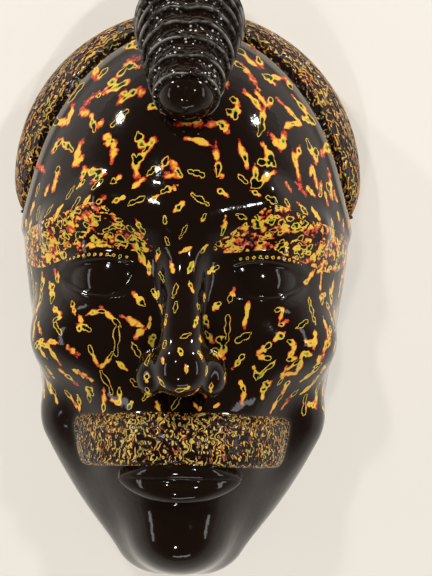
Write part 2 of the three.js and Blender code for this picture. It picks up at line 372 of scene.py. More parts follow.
    def with_mouth(self, face: np.ndarray, p: Point) -> np.ndarray:
        """Adds two calm closed lips, the line between them and the dip below.

        Args:
            face: Distances to the face without them.
            p: Where to measure.

        Returns:
            Distances to the face with them.
        """
        lips = np.minimum(self.upper_lip.distance(p), self.lower_lip.distance(p))
        face = melt(face, lips, self.lips_fillet)
        face = scoop(face, self.mouth_line.distance(p), self.mouth_line_fillet)
        return self.chin_dip.cut_from(face, p)

    def moustache_at(self, x: np.ndarray) -> np.ndarray:
        """Height of the moustache's middle line, which droops to the sides."""
        return self.moustache_middle - self.moustache_droop * x * x

    def moustache(self, p: Point, head: np.ndarray, sunk: float = 0.0) -> np.ndarray:
        """The broad band over the mouth, with a shelf below.

        Args:
            p: Where to measure.
            head: Distances to the bare head there.
            sunk: How far the band is sunk on every side.

        Returns:
            Distances to the band.
        """
        middle = self.moustache_at(p[0])
        above = (p[1] - middle - self.moustache_above + sunk) * self.moustache_above_slope
        below = middle - self.moustache_below - p[1] + sunk
        end = p[0] - self.moustache_half - self.moustache_lean * (p[1] - middle) + sunk
        out = np.minimum(p[0] / self.moustache_half, 1)
        proud = self.moustache_proud - self.moustache_taper * out**4
        band = meet(head - proud + sunk, above, self.moustache_top_fillet)
        band = meet(band, below, self.moustache_shelf_fillet)
        return meet(band, end, self.moustache_end_fillet)

    def features(self, p: Point, head: np.ndarray) -> np.ndarray:
        """The face without hair or moustache.

        Args:
            p: Where to measure.
            head: Distances to the bare head there.

        Returns:
            Distances to the face.
        """
        face = melt(head, self.brow_ridge(p), self.brow_fillet)
        face = self.cheekbone.added_to(face, p)
        face = self.chin.added_to(face, p)
        face = self.cheek_hollow.cut_from(face, p)
        face = self.socket.cut_from(face, p)
        face = melt(face, self.nose(p), self.nose_fillet)
        face = self.nostril.cut_from(face, p)
        return self.with_mouth(self.with_eye(face, p), p)

    def face(self, point: Point, sunk: float = 0.0) -> np.ndarray:
        """Face and moustache, without the hair.

        Args:
            point: Where to measure, on either side.
            sunk: How far the moustache is sunk on every side.

        Returns:
            The distances.
        """
        p = folded(point)
        head = self.head(p)
        return melt(self.features(p, head), self.moustache(p, head, sunk), self.moustache_fillet)

    def front(self, point: Point) -> np.ndarray:
        """Everything that is carved on the front."""
        return melt(self.face(point), self.hair(folded(point)), self.hair_roll.fillet)

    def hollow(self, point: Point) -> np.ndarray:
        """The inside, an even wall behind the head and the hair."""
        p = folded(point)
        return melt(self.head(p), self.hair(p), self.hollow_fillet) + self.wall


@dataclass(frozen=True)
class CarvingLines:
    """Lines that fan out from the rim's plane over a square map, whose edge is the rim."""

    reach: Triple = (112.0, 196.0, 150.0)
    start_share: float = 0.6  # how far out a line's foot is, as a share of the rim's
    far: float = 230.0
    close_enough: float = 0.004
    step_share: float = 0.7  # a step is cut to this share, because the forms overstate distances
    most_steps: int = 160

    def lines(self, s: np.ndarray, t: np.ndarray) -> tuple[np.ndarray, np.ndarray]:
        """The lines over places on the map.

        Args:
            s: Places across the map, from -1 to 1.
            t: Places up the map, from -1 to 1.

        Returns:
            Starts and directions, one row for each line.
        """
        u = s * np.sqrt(1 - t * t / 2)
        v = t * np.sqrt(1 - s * s / 2)
        tilt = np.minimum(np.hypot(u, v), 1) * math.pi / 2
        spread = np.sin(tilt) * math.pi / 2 / np.maximum(tilt, TINY)
        spread = np.where(tilt > 0, spread, math.pi / 2)
        on_rim = (np.abs(s) >= 1) | (np.abs(t) >= 1)
        rise = np.where(on_rim, 0, self.reach[2] * np.cos(tilt))
        end = np.stack([self.reach[0] * spread * u, self.reach[1] * spread * v, rise], -1)
        start = end * (self.start_share, self.start_share, 0)
        way = end - start
        return start, way / np.linalg.norm(way, axis=-1, keepdims=True)

    def carve(self, form: Form, s: np.ndarray, t: np.ndarray) -> np.ndarray:
        """Walks in along each line until the wood is reached.

        Args:
            form: The distance function.
            s: Places across the map.
            t: Places up the map.

        Returns:
            Points on the wood, in the shape of s with a last axis of three.
        """
        start, way = self.lines(s.ravel(), t.ravel())
        far = np.full(len(start), self.far)
        moving = np.arange(len(start))
        for _ in range(self.most_steps):
            at = start[moving] + way[moving] * far[moving, None]
            left = form((at[:, 0], at[:, 1], at[:, 2]))
            far[moving] -= left * self.step_share
            moving = moving[np.abs(left) > self.close_enough]
            if not len(moving):
                break
        return (start + way * far[:, None]).reshape(*s.shape, 3)


FORM = MaskForm()
LINES = CarvingLines()


def trimmed(
    points: np.ndarray, faces: np.ndarray, values: Values
) -> tuple[np.ndarray, np.ndarray, Values]:
    """Leaves out the faces that lie deep in the wood, and the vertices that only they use.

    Args:
        points: Vertices in millimetres, one row each.
        faces: Four-sided faces, one row each.
        values: Numbers for each vertex, by name.

    Returns:
        The same three without what is buried.
    """
    buried = FORM.front(tuple(points.T)) < -BURIED
    kept, renumbered = np.unique(faces[~buried[faces].all(1)], return_inverse=True)
    values = {label: numbers[kept] for label, numbers in values.items()}
    return points[kept], renumbered.reshape(-1, 4), values


def make_piece(name: str, points: np.ndarray, faces: np.ndarray, values: Values) -> bpy.types.Object:
    """Makes a smooth-shaded piece of the mask and ties it to the frame.

    Args:
        name: The piece's name.
        points: Its vertices in millimetres, one row each.
        faces: Its four-sided faces, one row each.
        values: Numbers for each vertex, by the name that a material reads them by.

    Returns:
        The new object.
    """
    mesh = bpy.data.meshes.new(name)
    mesh.from_pydata((points * MM).tolist(), [], faces.tolist())
    for label, numbers in values.items():
        attribute = mesh.attributes.new(label, "FLOAT", "POINT")
        attribute.data.foreach_set("value", numbers.astype(np.float32))
    mesh.update()
    mesh.shade_smooth()
    piece = bpy.data.objects.new(name, mesh)
    bpy.context.scene.collection.objects.link(piece)
    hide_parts(NODE)
    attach(piece, "root")
    return piece


def grid_faces(rows: int, columns: int, ring: bool = False) -> np.ndarray:
    """Faces of a grid of vertices.

    Args:
        rows: Vertices along the first axis.
        columns: Vertices along the second axis.
        ring: Whether the second axis closes on itself.

    Returns:
        Four vertex numbers for each face, anticlockwise where the first axis runs right and the
        second up.
    """
    numbers = np.arange(rows * columns).reshape(rows, columns)
    if ring:
        numbers = np.concatenate([numbers, numbers[:, :1]], 1)
    corners = [numbers[:-1, :-1], numbers[1:, :-1], numbers[1:, 1:], numbers[:-1, 1:]]
    return np.stack(corners, -1).reshape(-1, 4)


def grid_piece(
    name: str, points: np.ndarray, values: Values, part: tuple[slice, slice] = (slice(None), slice(None))
) -> bpy.types.Object:
    """Makes a piece of a grid or of a part of it.

    Args:
        name: The piece's name.
        points: The whole grid of vertices, in millimetres.
        values: Grids of numbers, by the name that a material reads them by.
        part: The columns and rows that make the piece.

    Returns:
        The new object.
    """
    own = points[part]
    numbers = {label: grid[part].ravel() for label, grid in values.items()}
    return make_piece(name, *trimmed(own.reshape(-1, 3), grid_faces(*own.shape[:2]), numbers))


def outward(points: np.ndarray) -> np.ndarray:
    """Unit normals of a grid of points.

    Args:
        points: The grid, with the first axis to the right and the second up.

    Returns:
        One normal for each point.
    """
    normal = np.cross(np.gradient(points, axis=0), np.gradient(points, axis=1))
    return normal / np.maximum(np.linalg.norm(normal, axis=-1, keepdims=True), TINY)


def lowered(points: np.ndarray, depth: np.ndarray) -> np.ndarray:
    """A grid of points, each moved into the wood by its own depth."""
    return points - outward(points) * depth[..., None]


def smooth_step(low: float, high: float, value: np.ndarray) -> np.ndarray:
    """Rises smoothly from 0 at low to 1 at high."""
    share = np.clip((value - low) / (high - low), 0, 1)
    return share * share * (3 - 2 * share)


def smooth_noise(a: np.ndarray, b: np.ndarray, seed: int) -> np.ndarray:
    """A smooth random height from 0 to 1, whose bumps are about one unit apart.

    Args:
        a: Places along the first axis.
        b: Places along the second axis.
        seed: Which of many heights is asked for.

    Returns:
        The heights.
    """
    table = np.random.default_rng(seed).random((TABLE, TABLE))
    column, row = np.floor(a).astype(int), np.floor(b).astype(int)
    u, v = smooth_step(0, 1, a - column), smooth_step(0, 1, b - row)
    this_column, next_column = column % TABLE, (column + 1) % TABLE
    this_row, next_row = row % TABLE, (row + 1) % TABLE
    near = table[this_column, this_row] * (1 - u) + table[next_column, this_row] * u
    far = table[this_column, next_row] * (1 - u) + table[next_column, next_row] * u
    return near * (1 - v) + far * v


def linear(colour: str) -> tuple[float, float, float, float]:
    """Turns an sRGB hex value to the linear colour that a shader takes.

    Args:
        colour: The value, with a leading #.

    Returns:
        Red, green, blue and an alpha of 1.
    """
    parts = [int(colour[i : i + 2], 16) / 255 for i in (1, 3, 5)]
    red, green, blue = (c / 12.92 if c <= 0.04045 else ((c + 0.055) / 1.055) ** 2.4 for c in parts)
    return red, green, blue, 1.0


def per_metre(size: float) -> float:
    """The texture scale that repeats every so many millimetres."""
    return 1 / (size * MM)


def add_node(
    tree: bpy.types.NodeTree, kind: str, inputs: Inputs | None = None, output: int | str = 0,
    **settings: object,
) -> Socket:
    """Adds a node with its settings and links.

    Args:
        tree: The material's or world's node tree.
        kind: The node's type, without its ShaderNode start.
        inputs: Socket names or numbers to a plain value, or to the socket that feeds them.
        output: Name or number of the output that is wanted.
        **settings: The node's own settings.

    Returns:
        That output of the new node.
    """
    node = tree.nodes.new("ShaderNode" + kind)
    for name, value in settings.items():
        setattr(node, name, value)
    for name, value in (inputs or {}).items():
        if isinstance(value, Socket):
            tree.links.new(value, node.inputs[name])
        else:
            node.inputs[name].default_value = value
    return node.outputs[output]


@dataclass(frozen=True)
class Finish(ABC):
    """How a surface looks, as one material. Sizes are in millimetres."""

    name: str

    @abstractmethod
    def surface(self, tree: bpy.types.NodeTree, place: Socket) -> Inputs:
        """Inputs of the surface shader, over places on the mask."""

    def make(self) -> bpy.types.Material:
        """Builds the finish.

        Returns:
            The material.
        """
        material = bpy.data.materials.new(self.name)
        material.use_nodes = True
        tree = material.node_tree
        tree.nodes.clear()
        place = add_node(tree, "TexCoord", output="Object")
        surface = add_node(tree, "BsdfPrincipled", self.surface(tree, place))
        tree.links.new(surface, tree.nodes.new("ShaderNodeOutputMaterial").inputs["Surface"])
        return material


@dataclass(frozen=True)
class Lacquer(Finish):
    """Black lacquer, built up in coats and polished.

    Its clear hard top gives small bright highlights. Its body reflects nothing by itself, so it
    stays deep black.
    """

    black: str = "#180D07"
    shine: float = 1.0
    brush_size: float = 14.0
    brush_depth: float = 0.8

    def polished(self, colour: Socket, bump: Socket) -> Inputs:
        """Inputs of a surface shader with a polished coat.

        Args:
            colour: What lies under the coat.
            bump: The normal of body and coat.

        Returns:
            The inputs.
        """
        return {
            "Base Color": colour, "Roughness": 0.5, "Specular IOR Level": 0.0, "Coat Weight": self.shine,
            "Coat Roughness": 0.07, "Coat IOR": 1.34, "Normal": bump, "Coat Normal": bump,
        }


@dataclass(frozen=True)
class RubbedLacquer(Lacquer):
    """Black lacquer over red, orange, yellow and green coats, rubbed until the coats show as rings.

    Rings are flush with the surface, and as glossy as the black round them.
    """

    # Grey of a reflection painted on the thin roll along the hair
    painted_sheen_grey: str = "#9C9488"
    dark_red: str = "#7E1E12"
    red: str = "#CF4A32"
    orange: str = "#E68434"
    yellow: str = "#F2C646"
    green: str = "#96AE2E"
    core: str = "#0C0704"
    worn: str = "#9C8058"
    shade_size: float = 7.0
    waver: float = 2.2
    waver_depth: float = 0.5
    dense_zone: bool = False
    ring_size: float = 3.6
    ring_stretch: Triple = (0.55, 1.0, 0.7)
    sway: float = 9.0
    sway_size: float = 6.0
    patch_size: float = 11.0

    def surface(self, tree: bpy.types.NodeTree, place: Socket) -> Inputs:
        """Inputs of the surface shader.

        Args:
            tree: The material's tree.
            place: Where on the mask.

        Returns:
            The inputs.
        """
        rub = self.rub(tree, place)
        inside = add_node(tree, "MapRange", {"Value": rub, "From Min": -0.02, "From Max": 0.05})
        top, coats = self.top(tree, place), self.coats(tree, place, rub)
        colours = {MIX_SHARE: inside, MIX_FROM: top, MIX_TO: coats}
        colour = add_node(tree, "Mix", colours, MIXED, data_type="RGBA")
        # Slow waves that a brush leaves in thick lacquer break up the highlights
        brush = {"Vector": place, "Scale": per_metre(self.brush_size), "Detail": 3.0}
        waves = add_node(tree, "TexNoise", brush)
        bump = {"Strength": 0.45, "Distance": self.brush_depth * MM, "Height": waves}
        return self.polished(colour, add_node(tree, "Bump", bump))

    def coats(self, tree: bpy.types.NodeTree, place: Socket, rub: Socket) -> Socket:
        """Colour of the coat that the rubbing has reached, dulled where hair is handled.

        Args:
            tree: The material's tree.
            place: Where on the mask.
            rub: How deep the lacquer is rubbed.

        Returns:
            The colour.
        """
        add = partial(add_node, tree)
        tone = add("Attribute", output="Fac", attribute_name="tone")
        shade = add("TexNoise", {"Vector": place, "Scale": per_metre(self.shade_size), "Detail": 1.0})
        shift = {"Value": shade, "From Min": 0.3, "From Max": 0.7, "To Min": -0.25, "To Max": 0.2}
        shift = add("Math", {0: tone, 1: 0.3, 2: add("MapRange", shift)}, operation="MULTIPLY_ADD")
        depth = add("Math", {0: rub, 1: shift}, operation="ADD")
        reached = add("MapRange", {"Value": depth, "From Min": -0.2, "From Max": 1.8})
        coat = add("ValToRGB", {"Fac": reached})
        self.set_coats(coat.node.color_ramp)
        dull = add("Attribute", output="Fac", attribute_name="dull")
        colours = {MIX_SHARE: dull, MIX_FROM: coat, MIX_TO: linear(self.worn)}
        return add("Mix", colours, MIXED, data_type="RGBA")

    def set_coats(self, ramp: bpy.types.ColorRamp) -> None:
        """Sets the coats in the order that the rubbing reaches them.

        Args:
            ramp: The ramp to set, which has two stops.
        """
        first, *between, last = [
            (0.0, self.dark_red), (0.115, self.dark_red), (0.135, self.red), (0.21, self.red),
            (0.27, self.orange), (0.34, self.yellow), (0.56, self.yellow),
            (0.6, self.green), (0.7, self.green), (0.735, self.core),
        ]
        for stop, (position, colour) in zip(ramp.elements, (first, last)):
            stop.position, stop.color = position, linear(colour)
        for position, colour in between:
            ramp.elements.new(position).color = linear(colour)

    def top(self, tree: bpy.types.NodeTree, place: Socket) -> Socket:
        """Colour of the unrubbed lacquer: black, with a grey reflection painted on the thin roll,
        fainter towards the crown.

        Args:
            tree: The material's tree.
            place: Where on the mask.

        Returns:
            The colour.
        """
        add = partial(add_node, tree)
        # Painted reflection: grey on the crest of the thin roll, fainter towards the crown
        edge = add("Attribute", output="Fac", attribute_name="painted_sheen_edge")
        edge = add("MapRange", {"Value": edge, "From Max": 0.4})
        height = add("SeparateXYZ", {0: place}, "Y")
        fade = {"Value": height, "From Min": 0.02, "From Max": 0.08, "To Min": 1.0, "To Max": 0.45}
        edge = add("Math", {0: edge, 1: add("MapRange", fade)}, operation="MULTIPLY")
        colours = {MIX_SHARE: edge, MIX_FROM: linear(self.black), MIX_TO: linear(self.painted_sheen_grey)}
        return add("Mix", colours, MIXED, data_type="RGBA")

    def rub(self, tree: bpy.types.NodeTree, place: Socket) -> Socket:
        """How deep the lacquer is rubbed, with uneven edges.

        Args:
            tree: The material's tree.
            place: Where on the mask.

        Returns:
            The depth.
        """
        add = partial(add_node, tree)
        own = add("Attribute", output="Fac", attribute_name="rub")
        rough = add("TexNoise", {"Vector": place, "Scale": per_metre(self.waver), "Detail": 2.0})
        swing = {"Value": rough, "To Min": -self.waver_depth, "To Max": self.waver_depth}
        waver = add("MapRange", swing)
        rub = add("Math", {0: own, 1: waver}, operation="ADD")
        if not self.dense_zone:
            return rub
        return add("Math", {0: rub, 1: self.small_rings(tree, place, waver)}, operation="MAXIMUM")

    def small_rings(self, tree: bpy.types.NodeTree, place: Socket, waver: Socket) -> Socket:
        """How deep the small rings are rubbed that crowd together over the eyes.

        Args:
            tree: The material's tree.
            place: Where on the mask.
            waver: The unevenness of every edge.

        Returns:
            The depth, far below 0 outside the crowded zone.
        """
        add = partial(add_node, tree)
        slow = {"Vector": place, "Scale": per_metre(self.sway_size), "Detail": 2.0}
        moved = {0: add("TexNoise", slow, "Color"), 1: (self.sway * MM,) * 3, 2: place}
        swayed = add("VectorMath", moved, operation="MULTIPLY_ADD")
        stretched = add("Mapping", {"Vector": swayed, "Scale": self.ring_stretch})
        cells = add("TexVoronoi", {"Vector": stretched, "Scale": per_metre(self.ring_size)}).node.outputs
        chance = add("SeparateColor", {0: cells["Color"]})
        strength = add("MapRange", {"Value": chance, "To Min": 0.5, "To Max": 4.8})
        patch = add("TexNoise", {"Vector": place, "Scale": per_metre(self.patch_size)})
        patch = add("MapRange", {"Value": patch, "From Min": 0.42, "From Max": 0.54, "To Min": 0.2})
        strength = add("Math", {0: strength, 1: patch}, operation="MULTIPLY")
        near = add("Math", {0: cells["Distance"], 1: -1.75, 2: 1.0}, operation="MULTIPLY_ADD")
        ring = add("Math", {0: near, 1: strength, 2: waver}, operation="MULTIPLY_ADD")
        dense = add("Attribute", output="Fac", attribute_name="dense")
        away = {"Value": dense, "From Min": 0.25, "From Max": 0.75, "To Min": 8.0, "To Max": 0.0}
        return add("Math", {0: ring, 1: add("MapRange", away)}, operation="SUBTRACT")


@dataclass(frozen=True)
class DimpledLacquer(Lacquer):
    """Plain black lacquer over small gouge marks.

    It is deep black with sparkling dimples. A grey highlight is painted in patches on the lips of the
    rings, and a few white glints are painted in the dimples.
    """

    name: str = "dimpled_black_lacquer"
    dusty: str = "#2A1E15"
    # Grey of a highlight painted on the lips of the rings
    painted_sheen_grey: str = "#BDB6AA"
    # White of glints painted in the dimples, standing in for sparkles of light
    painted_glint: str = "#F2EEE6"
    shine: float = 0.85
    brush_size: float = 9.0
    brush_depth: float = 1.0
    dust_size: float = 3.0
    sheen_patch_size: float = 9.0
    dimple_size: float = 4.0
    dimple_depth: float = 1.6
    glint_spacing: float = 3.1
    glint_group_size: float = 17.0

    def surface(self, tree: bpy.types.NodeTree, place: Socket) -> Inputs:
        """Inputs of the surface shader.

        Args:
            tree: The material's tree.
            place: Where on the topknot.

        Returns:
            The inputs.
        """
        add = partial(add_node, tree)
        dust = add("TexNoise", {"Vector": place, "Scale": per_metre(self.dust_size), "Detail": 4.0})
        sheen_patches = add("TexNoise", {"Vector": place, "Scale": per_metre(self.sheen_patch_size), "Detail": 3.0})
        patchy = {"Value": sheen_patches, "From Min": 0.4, "From Max": 0.62, "To Min": 0.06, "To Max": 0.9}
        edge = add("Attribute", output="Fac", attribute_name="painted_sheen_edge")
        dimpled = add("Attribute", output="Fac", attribute_name="dimpled")
        # Layers over the black: dust, a painted grey highlight on the lips in patches, and painted white
        # glints
        layers = (
            (self.dusty, add("MapRange", {"Value": dust, "From Min": 0.55, "From Max": 0.8})),
            (self.painted_sheen_grey, add("Math", {0: edge, 1: add("MapRange", patchy)}, operation="MULTIPLY")),
            (self.painted_glint, self.painted_glints(tree, place, dimpled)),
        )
        colour = linear(self.black)
        for over, share in layers:
            colours = {MIX_SHARE: share, MIX_FROM: colour, MIX_TO: linear(over)}
            colour = add("Mix", colours, MIXED, data_type="RGBA")
        return self.polished(colour, self.dimples(tree, place, dimpled))

    def painted_glints(self, tree: bpy.types.NodeTree, place: Socket, dimpled: Socket) -> Socket:
        """Where white glints are painted, in small spots that stand in a few groups.

        Args:
            tree: The material's tree.
            place: Where on the topknot.
            dimpled: 1 where the wood is dimpled.

        Returns:
            1 in a painted glint.
        """
        add = partial(add_node, tree)
        # Painted glints: small white spots in the dimples, in a few groups
        spots = add("TexVoronoi", {"Vector": place, "Scale": per_metre(self.glint_spacing)}).node.outputs
        groups = add("TexNoise", {"Vector": place, "Scale": per_metre(self.glint_group_size)})
        glint = add("MapRange", {"Value": groups, "From Min": 0.46, "From Max": 0.5})
        chance = add("SeparateColor", {0: spots["Color"]})
        picked = add("MapRange", {"Value": chance, "From Min": 0.4, "From Max": 0.44})
        inside = add("MapRange", {"Value": spots["Distance"], "From Min": 0.27, "From Max": 0.2})
        for share in (picked, inside, dimpled):
            glint = add("Math", {0: glint, 1: share}, operation="MULTIPLY")
        return glint

    def dimples(self, tree: bpy.types.NodeTree, place: Socket, dimpled: Socket) -> Socket:
        """Small hollows left by the gouge, over slow brush waves.

        Args:
            tree: The material's tree.
            place: Where on the topknot.
            dimpled: 1 where the wood is dimpled.

        Returns:
            The bumped normal.
        """
        add = partial(add_node, tree)
        waves = add("TexNoise", {"Vector": place, "Scale": per_metre(self.brush_size), "Detail": 4.0})
        slow = add("Bump", {"Strength": 0.4, "Distance": self.brush_depth * MM, "Height": waves})
        cells = add("TexVoronoi", {"Vector": place, "Scale": per_metre(self.dimple_size)}, "Distance")
        bowl = add("Math", {0: cells, 1: 2.0}, operation="POWER")
        height = add("Math", {0: bowl, 1: dimpled}, operation="MULTIPLY")
        bump = {"Strength": 1.0, "Distance": self.dimple_depth * MM, "Height": height, "Normal": slow}
        return add("Bump", bump)


@dataclass(frozen=True)
class GougedWood(Finish):
    """Bare hardwood darkened by handling: matt, with long fine grain."""

    name: str = "gouged_dark_wood"
    light: str = "#6B4A30"
    dark: str = "#2E1E14"
    grain_size: float = 1.6
    grain_stretch: Triple = (1.0, 0.06, 1.0)
    grain_depth: float = 0.6
    stain_size: float = 45.0

    def surface(self, tree: bpy.types.NodeTree, place: Socket) -> Inputs:
        """Inputs of the surface shader.

        Args:
            tree: The material's tree.
            place: Where on the mask.

        Returns:
            The inputs.
        """
        add = partial(add_node, tree)
        drawn = add("Mapping", {"Vector": place, "Scale": self.grain_stretch})
        grain = add("TexNoise", {"Vector": drawn, "Scale": per_metre(self.grain_size), "Detail": 5.0})
        stain = add("TexNoise", {"Vector": place, "Scale": per_metre(self.stain_size), "Detail": 3.0})
        share = add("Math", {0: grain, 1: stain}, operation="MULTIPLY")
        share = add("MapRange", {"Value": share, "From Min": 0.15, "From Max": 0.36})
        colours = {MIX_SHARE: share, MIX_FROM: linear(self.dark), MIX_TO: linear(self.light)}
        return {
            "Base Color": add("Mix", colours, MIXED, data_type="RGBA"),
            "Roughness": add("MapRange", {"Value": grain, "To Min": 0.62, "To Max": 0.85}),
            "Normal": add("Bump", {"Strength": 0.5, "Distance": self.grain_depth * MM, "Height": grain}),
        }


@dataclass(frozen=True)
class BackdropPaper(Finish):
    """Matt cream paper on a light table: it glows a little, so that shadows on it are faint."""

    name: str = "cream_backdrop_paper"
    cream: str = "#C9C3BA"
    glow: float = 0.7
    fibre_size: float = 2.0

    def surface(self, tree: bpy.types.NodeTree, place: Socket) -> Inputs:
        """Inputs of the surface shader.

        Args:
            tree: The material's tree.
            place: Where on the paper.

        Returns:
            The inputs.
        """
        weave = {"Vector": place, "Scale": per_metre(self.fibre_size), "Detail": 3.0}
        fibre = add_node(tree, "TexNoise", weave)
        return {
            "Base Color": linear(self.cream),
            "Emission Color": linear(self.cream),
            "Emission Strength": self.glow,
            "Roughness": add_node(tree, "MapRange", {"Value": fibre, "To Min": 0.85, "To Max": 0.95}),
        }


@dataclass(frozen=True)
class Strands:
    """Carved strands of hair: lines that sway, meet and break off. Sizes are in millimetres."""

    pitch: float
    sway: float
    sway_size: Pair
    break_size: Pair
    seed: int
    thin: float
    breaks: float
    strongest: float
    weakest: float = 0.4
    whole_from: float = 0.55
    cut: Pair = (-0.5, 0.3)

    def rub(self, along: np.ndarray, across: np.ndarray) -> np.ndarray:
        """How deep the rubbing goes: 0 at a strand's edge and above 0 inside it.

        Args:
            along: Millimetres along the strands.
            across: Millimetres across them.

        Returns:
            The depth at each place.
        """
        a, b = along / self.sway_size[0], across / self.sway_size[1]
        sway = smooth_noise(a, b, self.seed) + smooth_noise(2 * a, 2 * b, self.seed + 1) / 2
        sway -= 0.75  # its middle, so that the strands stay where they are
        crest = np.cos(2 * math.pi * (across + self.sway * sway) / self.pitch)
        a, b = along / self.break_size[0], across / self.break_size[1]
        whole = smooth_noise(a, b, self.seed + 2)
        strength = self.weakest + (self.strongest - self.weakest) * smooth_noise(a, b, self.seed + 3)
        return strength * (crest - self.thin - self.breaks * np.maximum(self.whole_from - whole, 0))

    def gaps(self, rub: np.ndarray) -> np.ndarray:
        """How far the wood between the strands is cut away, from 0 on a strand to 1."""
        return 1 - smooth_step(*self.cut, rub)


@dataclass(frozen=True)
class Patches:
    """A value that changes slowly over the surface, in patches of a size in millimetres."""

    size: Pair
    lowest: float
    swing: float
    seed: int

    def at(self, along: np.ndarray, across: np.ndarray) -> np.ndarray:
        """The value at places given in millimetres."""
        noise = smooth_noise(along / self.size[0], across / self.size[1], self.seed)
        return self.swing * noise + self.lowest


@dataclass(frozen=True)
class GougeCuts:
    """Shallow cuts of a gouge, one in each cell of a jittered grid. Sizes are in millimetres."""

    long: float
    wide: float
    seed: int
    fill: float = 0.75
    jitter: Pair = (0.2, 0.6)

    def depth(self, along: np.ndarray, across: np.ndarray) -> np.ndarray:
        """How deep the cuts go.

        Args:
            along: Millimetres along the cuts.
            across: Millimetres across them.

        Returns:
            1 in the middle of a cut and less around it.
        """
        a, b = along / self.long, across / self.wide
        column, row = np.floor(a).astype(int), np.floor(b).astype(int)
        table = np.random.default_rng(self.seed).random((2, TABLE, TABLE))
        nearest = np.full(np.shape(a), np.inf)
        for i in (-1, 0, 1):
            for j in (-1, 0, 1):
                own = table[:, (column + i) % TABLE, (row + j) % TABLE]
                u, v = self.jitter[0] + self.jitter[1] * own
                nearest = np.minimum(nearest, length(a - column - i - u, b - row - j - v))
        return 1 - (nearest / self.fill) ** 2


class Zone(Enum):
    """Parts of the face that are marked in their own way."""

    FOREHEAD = "forehead"
    BROW = "brow"
    NOSE = "nose"
    CHEEK = "cheek"
    BARE = "bare"


@dataclass(frozen=True)
class MarkStyle:
    """How one zone's marks look: sizes in millimetres, directions in degrees, the rest in shares."""

    spacing: float
    lengths: Pair
    half_width: Pair
    tone: Pair
    heading: float
    scatter: float
    branching: float
    hollow: float


STYLES = {
    Zone.FOREHEAD: MarkStyle(
        spacing=16.5, lengths=(13, 24), half_width=(2.5, 3.6), tone=(-0.4, 0.5),
        heading=80, scatter=75, branching=0.9, hollow=0.07,
    ),
    Zone.BROW: MarkStyle(
        spacing=10.0, lengths=(7, 13), half_width=(1.7, 2.5), tone=(0.2, 0.7),
        heading=-32, scatter=16, branching=0.1, hollow=0.3,
    ),
    Zone.NOSE: MarkStyle(
        spacing=10.0, lengths=(5, 10), half_width=(1.2, 1.9), tone=(0.6, 1.0),
        heading=75, scatter=55, branching=0.25, hollow=0.2,
    ),
    Zone.CHEEK: MarkStyle(
        spacing=11.5, lengths=(9, 20), half_width=(1.6, 2.6), tone=(0.3, 0.9),
        heading=62, scatter=38, branching=0.55, hollow=0.12,
    ),
}


@dataclass(frozen=True)
class Swell:
    """How the width of an arm of a mark changes along it, in shares of the mark's own width."""

    at_ends: float = 0.3
    in_middle: float = 0.4
    far_end_more: float = 0.3
    fullness: float = 0.6
    ripple: float = 0.24
    ripple_turns: Pair = (9.0, 18.0)
    ripple_start: Pair = (0.0, 6.0)
    least: float = 0.28

    def along(self, chance: np.random.Generator, share: np.ndarray) -> np.ndarray:
        """The width along an arm.

        Args:
            chance: The seeded source of random numbers.
            share: Places along the arm, from 0 at its red end to 1.

        Returns:
            The width at each place.
        """
        middle = self.in_middle + self.far_end_more * share
        width = self.at_ends + middle * np.sin(math.pi * share) ** self.fullness
        turns, start = chance.uniform(*self.ripple_turns), chance.uniform(*self.ripple_start)
        return np.maximum(width + self.ripple * np.sin(share * turns + start), self.least)


@dataclass(frozen=True)
class Rubbing:
    """How deep an arm of a mark is rubbed, from 0 in the black coat to about 1.3 in the wood."""

    through: Pair = (1.8, 2.4)
    red: float = 0.14
    deeper: Pair = (0.3, 0.8)
    deeper_chance: float = 0.85
    hardly_deeper: float = 0.1
    red_to: float = 0.02
    deeper_from: Pair = (0.15, 0.6)
    fades_from: float = 0.85
    fade: float = 0.5
    spots_below: int = 3
    spot_depth: Pair = (0.3, 1.0)
    spot_place: Pair = (0.3, 0.85)
    spot_size: float = 0.08
    loop_chance: float = 0.4
    loop_depth: Pair = (1.2, 1.9)
    loop_rise: Pair = (0.62, 0.74)

    def along(self, chance: np.random.Generator, share: np.ndarray, hollow: bool) -> np.ndarray:
        """How deep an arm is rubbed: red and shallow at one end, with a few deep spots.

        Args:
            chance: The seeded source of random numbers.
            share: Places along the arm, from 0 at its red end to 1.
            hollow: Whether it is rubbed through to the wood all along.

        Returns:
            The depth at each place.
        """
        if hollow:
            return np.full(len(share), chance.uniform(*self.through))
        deeper = self.hardly_deeper
        if chance.random() < self.deeper_chance:
            deeper = chance.uniform(*self.deeper)
        deep = self.red + deeper * smooth_step(self.red_to, chance.uniform(*self.deeper_from), share)
        deep = deep * (1 - self.fade * smooth_step(self.fades_from, 1, share))
        for _ in range(chance.integers(0, self.spots_below)):
            spot, place = chance.uniform(*self.spot_depth), chance.uniform(*self.spot_place)
            deep += spot * np.exp(-(((share - place) / self.spot_size) ** 2))
        if chance.random() < self.loop_chance:
            deep += chance.uniform(*self.loop_depth) * smooth_step(*self.loop_rise, share)
        return deep


class Sample(NamedTuple):
    """A spot of a mark: its middle, its width and depth, and its tone from 0, red, to 1, yellow."""

    point: np.ndarray
    half_width: float
    depth: float
    tone: float


@dataclass
class Carving(ABC):
    """A part of the mask, carved as one or two pieces that share a finish."""

    finish: Finish

    @abstractmethod
    def build(self) -> list[bpy.types.Object]:
        """Carves the pieces."""

    def dress(self, pieces: list[bpy.types.Object]) -> None:
        """Gives the pieces their finish.

        Args:
            pieces: What build has made.
        """
        material = self.finish.make()
        for piece in pieces:
            piece.data.materials.append(material)
            LOG.info("%s: %d faces in %s", piece.name, len(piece.data.polygons), material.name)


